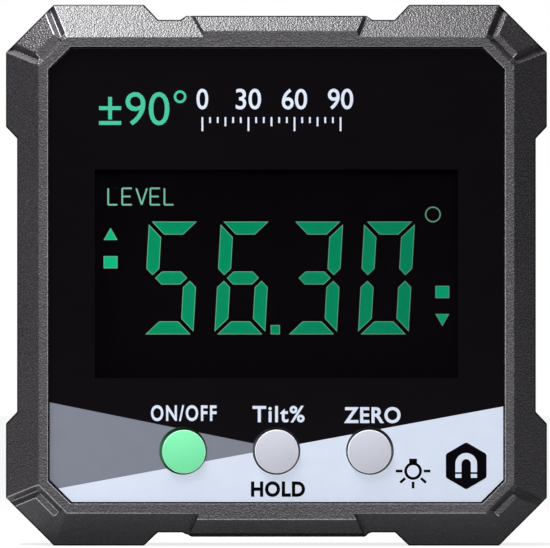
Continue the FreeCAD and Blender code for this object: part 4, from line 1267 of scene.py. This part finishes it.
@dataclass
class Panel(Part):
    """The printed panel and what is printed on it."""

    edge: float = 0.1 * MM
    print_gap: float = 0.01 * MM
    corner_cut: float = 2.47 * MM
    ink: float = 0.012 * MM
    sunk: float = 0.004 * MM
    window: tuple[float, float, float, float] = (-20.1 * MM, 20.1 * MM, 18.6 * MM, 41.7 * MM)
    # No edge this near the middle of a key's hole is rounded
    hole_reach: float = 3.15 * MM
    # Line that the white field lies under, and line that the grey wedge lies under
    white_line: Line = ((-24.27, 6.36), (25.29, 15.5))
    grey_line: Line = ((-25.04, 15.9), (0.01, 10.84))
    # The scale: its ends, its ticks, and the foot of every sixth, every third and any other tick
    scale_ends: Band = (-8.2, 7.1)
    scale_top: float = 47.5
    ticks: int = 19
    tick_width: float = 0.2
    tick_feet: tuple[tuple[int, float], ...] = ((6, 45.95), (3, 46.5), (1, 46.85))
    # The lamp: its ring, the height and width of its cap, and its rays
    lamp_centre: Point = (15.13, 8.31)
    lamp_radius: float = 0.82
    lamp_line: float = 0.31
    lamp_cap: tuple[float, float] = (0.55, 0.86)
    ray_angles: tuple[int, ...] = (180, 222, 270, 318, 0)
    ray_reach: Band = (0.36, 1.1)
    ray_width: float = 0.3
    # The magnet: its tile, the height of its bow over the tile's middle, and its legs under the bow
    magnet_centre: Point = (21.01, 8.89)
    tile_radius: float = 2.62
    tile_width: float = 4.5
    tile_corner: float = 0.18 * MM
    bow_rise: float = 0.22
    bow_radii: tuple[float, float] = (1.2, 0.52)
    leg_spans: tuple[Band, ...] = ((-0.92, 0.0), (-1.55, -1.12))

    def __post_init__(self) -> None:
        """Reads the places of the panel and of the holes for the keys."""
        self.low, self.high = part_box("window_panel")
        self.front = self.low.y
        self.holes = [sum(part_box(f"{look.name}_button"), Vector()) / 2 for look in KEY_LOOKS]

    def build(self) -> None:
        """Makes the panel, its colour fields, its legends and its pictograms."""
        self.build_plate()
        self.build_field("white_field", WHITE_INK, (self.white_line, False))
        self.build_field("grey_field", GREY_INK, (self.grey_line, False), (self.white_line, True))
        for legend in LEGENDS:
            self.build_legend(legend)
        self.build_scale()
        self.build_lamp_sign()
        self.build_magnet_sign()

    def layer(self, number: int) -> Layer:
        """The layer of ink that stands this many prints thick."""
        thick = self.ink * number + self.sunk
        return Layer(thick, self.front + self.sunk - thick / 2)

    def build_plate(self) -> None:
        """The clear sheet with its black print."""
        plate = Bench.copy_node(self.nodes["window_panel"], "printed_panel")
        Bench.bevel_edges(plate, self.edge, self.on_rim)
        Bench.smooth(plate, 25)
        Bench.dress(plate, GlossPanel("panel_gloss", colour_of(15, 12, 16), roughness=0.09, specular=0.05,
                                      window=self.window))
        self.seat(plate, "housing", "panel", "window_panel")

    def on_rim(self, edge: bmesh.types.BMEdge) -> bool:
        """True on the front edge all round the panel, and not at the holes for the keys.

        Args:
            edge: An edge of the panel.

        Returns:
            Whether it is one of them.
        """
        middle = Bench.middle(edge)
        clear = all((middle - hole).xz.length > self.hole_reach for hole in self.holes)
        return middle.y < self.front + HAIR and clear

    def build_field(self, name: str, finish: Finish, *cuts: tuple[Line, bool]) -> None:
        """A field of colour that fills the panel on one side of each line.

        Args:
            name: The piece's name.
            finish: Its ink.
            cuts: Lines on the front, and whether the part over the line is kept.
        """
        patch = Bench.copy_node(self.nodes["window_panel"], name)
        back = self.front + self.sunk
        self.slice(patch, Vector((0, back, 0)), Vector((0, 1, 0)))
        for (start, end), above in cuts:
            along = Vector((end[0] - start[0], 0, end[1] - start[1])).normalized()
            normal = Vector((-along.z, 0, along.x))
            self.slice(patch, Vector((start[0] * MM, 0, start[1] * MM)), -normal if above else normal)
        reach = self.high.x - self.edge - self.print_gap
        middle = Vector((0, 0, (self.low.z + self.high.z) / 2))
        for turn in range(8):
            outward = Vector((math.cos(turn * math.pi / 4), 0, math.sin(turn * math.pi / 4)))
            far = reach if turn % 2 == 0 else reach * math.sqrt(2) - self.corner_cut / math.sqrt(2)
            self.slice(patch, middle + outward * far, outward)
        thicker = self.layer(1).thick / self.sunk
        for corner in patch.data.vertices:
            corner.co.y = back + (corner.co.y - back) * thicker
        Bench.recalculate(patch)
        Bench.dress(patch, finish)
        self.seat(patch, "housing", "panel")

    @staticmethod
    def slice(piece: bpy.types.Object, point: Vector, normal: Vector) -> None:
        """Cuts away what lies beyond a plane, and closes the cut.

        Args:
            piece: The object.
            point: A point of the plane.
            normal: The side that goes.
        """
        Bench.edit_whole(piece)
        bpy.ops.mesh.bisect(plane_co=point, plane_no=normal, use_fill=True, clear_outer=True, threshold=1e-8)
        Bench.close()

    def build_legend(self, legend: Legend) -> None:
        """Words in one ink, fitted to their box on the panel.

        Args:
            legend: The words and their box.
        """
        Bench.clear()
        bpy.ops.object.text_add()
        text = bpy.context.object.data
        text.body = legend.words
        text.offset = legend.weight
        text.space_character = legend.spacing
        text.extrude = 0.5
        text.resolution_u = 5
        bpy.ops.object.convert(target="MESH")
        piece = Bench.named(legend.name)
        across = [corner.co.x for corner in piece.data.vertices]
        up = [corner.co.y for corner in piece.data.vertices]
        layer = self.layer(legend.layer)
        wide = (legend.right - legend.left) * MM / (max(across) - min(across))
        tall = (legend.high - legend.low) * MM / (max(up) - min(up))
        piece.data.transform(Matrix.Translation((-min(across), -min(up), 0)))
        piece.scale = (wide, tall, layer.thick)
        piece.rotation_euler = (math.pi / 2, 0, 0)
        piece.location = (legend.left * MM, layer.level, legend.low * MM)
        Bench.settle(piece)
        Bench.recalculate(piece)
        Bench.dress(piece, legend.finish)
        self.seat(piece, "housing", "panel")

    def build_scale(self) -> None:
        """A scale of ticks from 0 to 90 degrees under its numbers."""
        left, right = self.scale_ends
        lines = []
        for step in range(self.ticks):
            place = left + (right - left) * step / (self.ticks - 1)
            foot = next(foot for every, foot in self.tick_feet if step % every == 0)
            lines.append([(place, foot), (place, self.scale_top)])
        ticks = self.layer(1).bars("angle_scale", lines, self.tick_width)
        Bench.dress(ticks, WHITE_INK)
        self.seat(ticks, "housing", "panel")

    def build_lamp_sign(self) -> None:
        """The pictogram of a lit lamp: a ring with a cap and five rays."""
        layer = self.layer(2)
        (x, z), radius, half = self.lamp_centre, self.lamp_radius, self.lamp_line / 2
        rays = []
        for angle in self.ray_angles:
            turn = math.radians(angle)
            rays.append([(x + (radius + reach) * math.cos(turn), z + (radius + reach) * math.sin(turn))
                         for reach in self.ray_reach])
        marks = layer.bars("lamp_rays", rays, self.ray_width)
        ring = layer.ring("lamp_ring", (x, z), radius + half, radius - half)
        height, width = self.lamp_cap
        cap = layer.bar("lamp_cap", (x, z + radius), (x, z + radius + height), width)
        sign = Bench.join([ring, cap, marks], "lamp_sign")
        Bench.dress(sign, BLACK_INK)
        self.seat(sign, "housing", "panel")

    def build_magnet_sign(self) -> None:
        """The pictogram of a magnet: a white horseshoe on a black hexagon."""
        x, z = self.magnet_centre
        layer = self.layer(2)
        tile = layer.disc("magnet_tile", (x, z), self.tile_radius, 6)
        shift = Matrix.Translation((x * MM, 0, z * MM))
        wider = self.tile_width / (2 * self.tile_radius * math.cos(math.pi / 6))
        tile.data.transform(shift @ Matrix.Diagonal((wider, 1, 1, 1)) @ shift.inverted())
        Bench.bevel_edges(tile, self.tile_corner,
                          lambda edge: abs(Bench.middle(edge).y - layer.level) < layer.thick / 4, 3, 40)
        Bench.dress(tile, BLACK_INK)
        self.seat(tile, "housing", "panel")
        layer = self.layer(3)
        foot = z + self.bow_rise
        outer, inner = self.bow_radii
        bow = layer.ring("magnet_bow", (x, foot), outer, inner)
        self.slice(bow, Vector((0, 0, foot * MM)), Vector((0, 0, -1)))
        legs = []
        for across in (x - (outer + inner) / 2, x + (outer + inner) / 2):
            legs += [layer.bar("magnet_leg", (across, foot + low), (across, foot + high), outer - inner)
                     for low, high in self.leg_spans]
        sign = Bench.join([*legs, bow], "magnet_sign")
        Bench.dress(sign, WHITE_INK)
        self.seat(sign, "housing", "panel")


@dataclass(frozen=True)
class KeyLook:
    """A key's finishes and material slot, and how far off the middle of its hole it lies on the front."""

    name: str
    cap: Finish
    # Paler finish of the rounded edge: a painted highlight
    rim: Finish
    slot: str
    play: Point


KEY_LOOKS = (
    KeyLook("power", GREEN_CAP, GREEN_CAP_HIGHLIGHT, "green_key", (0.11, -0.1)),
    KeyLook("hold", GREY_CAP, GREY_CAP_HIGHLIGHT, "grey_key", (0.03, -0.07)),
    KeyLook("zero", GREY_CAP, GREY_CAP_HIGHLIGHT, "grey_key", (-0.05, -0.09)),
)


@dataclass
class Keys(Part):
    """The three caps that the fingers press."""

    radius: float = 2.42 * MM
    crown: float = 0.16 * MM
    edge: float = 0.13 * MM
    flange: float = 0.7 * MM
    sides: int = 72
    crown_steps: int = 8
    edge_steps: int = 5
    # How far forwards the faces of the rounded edge look, which get a paler finish as painted highlight
    highlight_facing: Band = (-0.98, -0.2)

    def build(self) -> None:
        """Makes a crowned cap for each button."""
        for look in KEY_LOOKS:
            node = f"{look.name}_button"
            cap = self.build_cap(f"{look.name}_cap", node, look.play)
            Bench.dress(cap, look.cap, look.rim)
            # The rounded edge gets its paler finish: a painted highlight
            for face in cap.data.polygons:
                if within(face.normal.y, self.highlight_facing):
                    face.material_index = 1
            self.seat(cap, node, look.slot, node)

    def build_cap(self, name: str, node: str, play: Point) -> bpy.types.Object:
        """A cap spun from its profile: crown, rounded edge, skirt and flange.

        Args:
            name: The piece's name.
            node: The CAD button that gives its place.
            play: How far it lies off the middle of its hole, across and up.

        Returns:
            The cap.
        """
        low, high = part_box(node)
        centre = (low + high) / 2
        flange = (high.x - low.x) / 2
        inner = self.radius - self.edge
        profile = [(0, low.y, 0)]
        for step in range(1, self.crown_steps + 1):
            share = step / self.crown_steps
            profile.append((inner * share, low.y + self.crown * share ** 2, 0))
        for step in range(1, self.edge_steps + 1):
            turn = math.radians(90 * step / self.edge_steps)
            depth = self.crown + self.edge * (1 - math.cos(turn))
            profile.append((inner + self.edge * math.sin(turn), low.y + depth, 0))
        flange_front = high.y - self.flange
        profile += [(self.radius, flange_front, 0), (flange, flange_front, 0), (flange, high.y, 0),
                    (0, high.y, 0)]
        cap = Bench.lathe(name, profile, (0, 1, 0), self.sides)
        Bench.recalculate(cap)
        cap.location = (centre.x + play[0] * MM, 0, centre.z + play[1] * MM)
        Bench.settle(cap)
        Bench.smooth(cap, 35)
        return cap


# Lines of each letter that the display can show, across and up in its box
LETTER_LINES = {
    "L": (((0, 1), (0, 0), (0.85, 0)),),
    "E": (((0.9, 1), (0, 1), (0, 0), (0.9, 0)), ((0, 0.5), (0.78, 0.5))),
    "V": (((0, 1), (0.5, 0), (1, 1)),),
}


@dataclass
class Display(Part):
    """The lit segments with their paler rims, and the word over them."""

    rim: float = 0.075 * MM
    digits_reach: float = 17 * MM
    ring_corner: Point = (16 * MM, 35 * MM)
    word: str = "LEVEL"
    word_across: Band = (-18.76, -11.43)
    word_up: Band = (37.72, 39.73)
    word_stroke: float = 0.19
    letter_gap: float = 0.3
    letter_width: float = 0.76

    def build(self) -> None:
        """Makes the segments and the word over them."""
        self.build_segments()
        self.build_word()

    def build_segments(self) -> None:
        """The segments of the frame, each front face with an inset rim."""
        marks = Bench.copy_node(self.nodes["lcd_segments"], "display_marks")
        Bench.dress(marks, SEGMENT_EDGE, SEGMENT, MARK_GLOW)
        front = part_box("lcd_segments")[0].y

        def fronts(mesh: bmesh.types.BMesh, digits: bool) -> list[bmesh.types.BMFace]:
            """Front faces of the digits, or of the marks beside them, without the degree ring.

            Args:
                mesh: The open mesh.
                digits: Whether the digits are meant.

            Returns:
                The faces.
            """
            found = []
            for face in mesh.faces:
                middle = face.calc_center_median()
                ring = middle.x > self.ring_corner[0] and middle.z > self.ring_corner[1]
                if face.normal.y < -FACE_ON and middle.y < front + HAIR and not ring:
                    if (abs(middle.x) < self.digits_reach) == digits:
                        found.append(face)
            return found

        for slot, digits in ((1, True), (2, False)):
            Bench.edit(marks, lambda mesh, digits=digits: fronts(mesh, digits))
            bpy.ops.mesh.inset(thickness=self.rim, use_individual=True, use_even_offset=True)
            bpy.context.object.active_material_index = slot
            bpy.ops.object.material_slot_assign()
            Bench.close()
        self.seat(marks, "housing", "segment", "lcd_segments")

    def build_word(self) -> None:
        """A word in thin strokes, on the same layer as the segments."""
        low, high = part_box("lcd_segments")
        layer = Layer(high.y - low.y, (low.y + high.y) / 2)
        (start, end), (foot, head) = self.word_across, self.word_up
        pitch = (end - start) / (len(self.word) - self.letter_gap)
        wide = pitch * self.letter_width
        tall = head - foot - self.word_stroke
        lines = []
        for number, letter in enumerate(self.word):
            left = start + self.word_stroke / 2 + pitch * number
            lines += [[(left + x * wide, foot + self.word_stroke / 2 + z * tall) for x, z in line]
                      for line in LETTER_LINES[letter]]
        piece = layer.bars("display_word", lines, self.word_stroke)
        Bench.dress(piece, WORD_GLOW)
        self.seat(piece, "housing", "segment")


@dataclass
class Batteries(Part):
    """The two cells, with their shrunk jackets and steel ends."""

    sides: int = 72
    lip: float = 0.35 * MM
    nub_radius: float = 1.9 * MM
    nub_length: float = 0.8 * MM

    def build(self) -> None:
        """Makes both cells, the lower one turned round."""
        self.build_cell("upper_cell", "upper_battery", False, UPPER_CELL)
        self.build_cell("lower_cell", "lower_battery", True, LOWER_CELL)

    def build_cell(self, name: str, node: str, turned: bool, finish: Finish) -> None:
        """A cell spun from its profile, its nub on the right, or on the left when it is turned.

        Args:
            name: The piece's name.
            node: The CAD battery.
            turned: Whether the positive end is on the left.
            finish: Its jacket.
        """
        low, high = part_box(node)
        centre = (low + high) / 2
        radius = (high.z - low.z) / 2
        foot, tip = (-high.x, -low.x) if turned else (low.x, high.x)
        shoulder = tip - self.nub_length
        lip, nub = self.lip, self.nub_radius
        profile = (
            (foot + lip * 0.4, 0), (foot + lip * 0.4, radius * 0.55),
            (foot, radius * 0.62), (foot, radius - lip * 1.6),
            (foot + lip * 0.3, radius - lip), (foot + lip, radius - lip * 0.15),
            (foot + lip * 1.6, radius), (shoulder - lip * 1.8, radius),
            (shoulder - lip, radius - lip * 0.2), (shoulder - lip * 0.5, radius - lip),
            (shoulder - lip * 0.7, radius - lip * 2.2), (shoulder, radius * 0.55),
            (shoulder, nub + lip * 0.5), (shoulder + lip * 0.5, nub),
            (tip - lip * 0.6, nub * 0.96), (tip - lip * 0.1, nub * 0.86),
            (tip, nub * 0.7), (tip, 0))
        cell = Bench.lathe(name, [(x, 0, out) for x, out in profile], (1, 0, 0), self.sides)
        cell.rotation_euler = (0, 0, math.pi if turned else 0)
        cell.location = (0, centre.y, centre.z)
        Bench.settle(cell)
        Bench.recalculate(cell)
        Bench.smooth(cell, 40)
        Bench.dress(cell, finish)
        self.seat(cell, "housing", "battery", node)


@dataclass
class Fasteners(Part):
    """Screws whose heads show."""

    edge: float = 0.1 * MM

    def build(self) -> None:
        """Makes the screws of the shells and of the cover."""
        self.build_screws("shell_screws", "housing_screws", "housing")
        self.build_screws("cover_screws", "battery_cover_screws", "battery_cover")

    def build_screws(self, name: str, node: str, body: str) -> None:
        """Screws with rounded heads.

        Args:
            name: The piece's name.
            node: The CAD screws.
            body: The body that they move with.
        """
        screws = Bench.copy_node(self.nodes[node], name)
        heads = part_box(node)[1].y - HAIR
        Bench.bevel_edges(screws, self.edge, lambda edge: Bench.middle(edge).y > heads)
        Bench.smooth(screws, 30)
        Bench.dress(screws, STEEL)
        self.seat(screws, body, "screw_steel", node)


# Studio


@dataclass
class Studio:
    """Floor, world, lamps and camera."""

    target: tuple[float, float, float] = (-0.16 * MM, 0.0, 30.13 * MM)
    middle: tuple[float, float, float] = (0, 0, 0.03)
    distance: float = 2.0
    plane: float = -11 * MM
    view_width: float = 60.98 * MM
    sensor: float = 36.0
    world_light: float = 0.3
    floor_size: float = 3.0
    floor_glow: float = 0.78

    def build(self) -> None:
        """Makes everything round the object."""
        bpy.context.scene.view_settings.view_transform = "Standard"
        self.build_world()
        self.build_floor()
        self.build_lamp("overhead_lamp", (-0.062, -0.01, 0.21), (-0.062, -0.01, 0.06), (0.07, 0.16), 27.0)
        self.build_lamp("left_lamp", (-1.3, -1.2, 0.5), self.middle, (0.6, 0.6), 1.6)
        self.build_lamp("front_lamp", (0.1, -1.7, 0.6), self.middle, (0.7, 0.7), 10.2)
        self.build_card("right_card", (0.45, -0.1, 0.1), self.middle, 1.0)
        self.build_card("left_card", (-0.5, 0.1, 0.1), self.middle, 0.9)
        self.build_card("upper_card", (0.13, 0.0, 0.27), (0.02, 0, 0.05), 0.2)
        self.build_card("front_card", (0.0, -2.3, 0.03), self.middle, 0.5)
        self.build_camera()

    def build_world(self) -> None:
        """White where it is seen, soft and cooler as light."""
        world = bpy.data.worlds.new("studio")
        bpy.context.scene.world = world
        world.use_nodes = True
        tree = ShaderTree(world.node_tree)
        seen = tree.rays(Ray.CAMERA, Ray.GLOSSY, Ray.TRANSMISSION)
        light = self.world_light
        colour = tree.mix(seen, (light * 0.98, light, light * 1.03), (1.0, 1.0, 1.0))
        shader = tree.signal("ShaderNodeBackground", 0, inputs={"Color": colour, "Strength": 1.0})
        tree.node("ShaderNodeOutputWorld", inputs={"Surface": shader})

    def build_floor(self) -> None:
        """A pale floor that keeps the object's shadow."""
        Bench.clear()
        bpy.ops.mesh.primitive_plane_add(size=self.floor_size, location=(0, 0.3, 0))
        floor = Bench.settle(Bench.named("floor"))
        paper = Surface("floor_paper", {"Roughness": 0.9, "Specular IOR Level": 0.1,
                                        "Emission Strength": 1.0})
        seen = paper.rays(Ray.CAMERA, Ray.TRANSMISSION) + paper.rays(Ray.GLOSSY) * 0.3
        paper.wear("Emission Color", paper.mix(seen, (0.0, 0.0, 0.0), (self.floor_glow,) * 3))
        cloud = paper.pattern(Noise.CLOUD, 40 * MM, 2)
        paper.paint(paper.mix(cloud, (0.3, 0.3, 0.3), (0.34, 0.34, 0.34)))
        floor.data.materials.append(paper.material)

    @staticmethod
    def aim(item: bpy.types.Object, target: Sequence[float]) -> None:
        """Turns an object's -Z towards a point."""
        direction = Vector(target) - item.location
        item.rotation_euler = direction.to_track_quat("-Z", "Y").to_euler()

    def build_lamp(self, name: str, place: Sequence[float], target: Sequence[float],
                   size: tuple[float, float], radiance: float) -> None:
        """A soft lamp of a given brightness.

        Args:
            name: The lamp's name.
            place: Where it hangs.
            target: The point that it faces.
            size: Lengths of its sides.
            radiance: Brightness of its face, where white is 1.
        """
        lamp = bpy.data.lights.new(name, "AREA")
        lamp.shape = "RECTANGLE"
        lamp.size, lamp.size_y = size
        lamp.energy = radiance * math.pi * size[0] * size[1]
        item = Bench.add(name, lamp)
        item.location = place
        item.visible_camera = False
        self.aim(item, target)

    def build_card(self, name: str, place: Sequence[float], target: Sequence[float], size: float) -> None:
        """A black card that keeps light off one side, as a photographer hangs it.

        Args:
            name: The card's name.
            place: Where it hangs.
            target: The point that it faces.
            size: Length of its sides.
        """
        Bench.clear()
        bpy.ops.mesh.primitive_plane_add(size=size, location=place)
        card = Bench.named(name)
        self.aim(card, target)
        Bench.settle(card)
        Bench.dress(card, BLACK_CARD)
        card.visible_camera = False

    def build_camera(self) -> None:
        """A long lens square to the front, framed as the photograph is."""
        data = bpy.data.cameras.new("camera")
        camera = Bench.add("camera", data)
        camera.location = (self.target[0], -self.distance, self.target[2])
        camera.rotation_euler = (math.pi / 2, 0, 0)
        data.sensor_fit = "HORIZONTAL"
        data.sensor_width = self.sensor
        data.lens = self.sensor * (self.distance + self.plane) / self.view_width
        data.clip_start, data.clip_end = 0.05, 50
        bpy.context.scene.camera = camera


def main() -> None:
    """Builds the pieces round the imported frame, then the studio."""
    logging.basicConfig(level=logging.INFO, format="%(message)s")
    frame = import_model()
    Bench.clear()
    for finish, names in NODE_FINISHES.items():
        for name in names:
            Bench.dress(frame["nodes"][name], finish)
    for kind in (Shells, Panel, Keys, Display, Batteries, Fasteners):
        kind(frame).build()
    Studio().build()


if __name__ == "__main__":
    main()
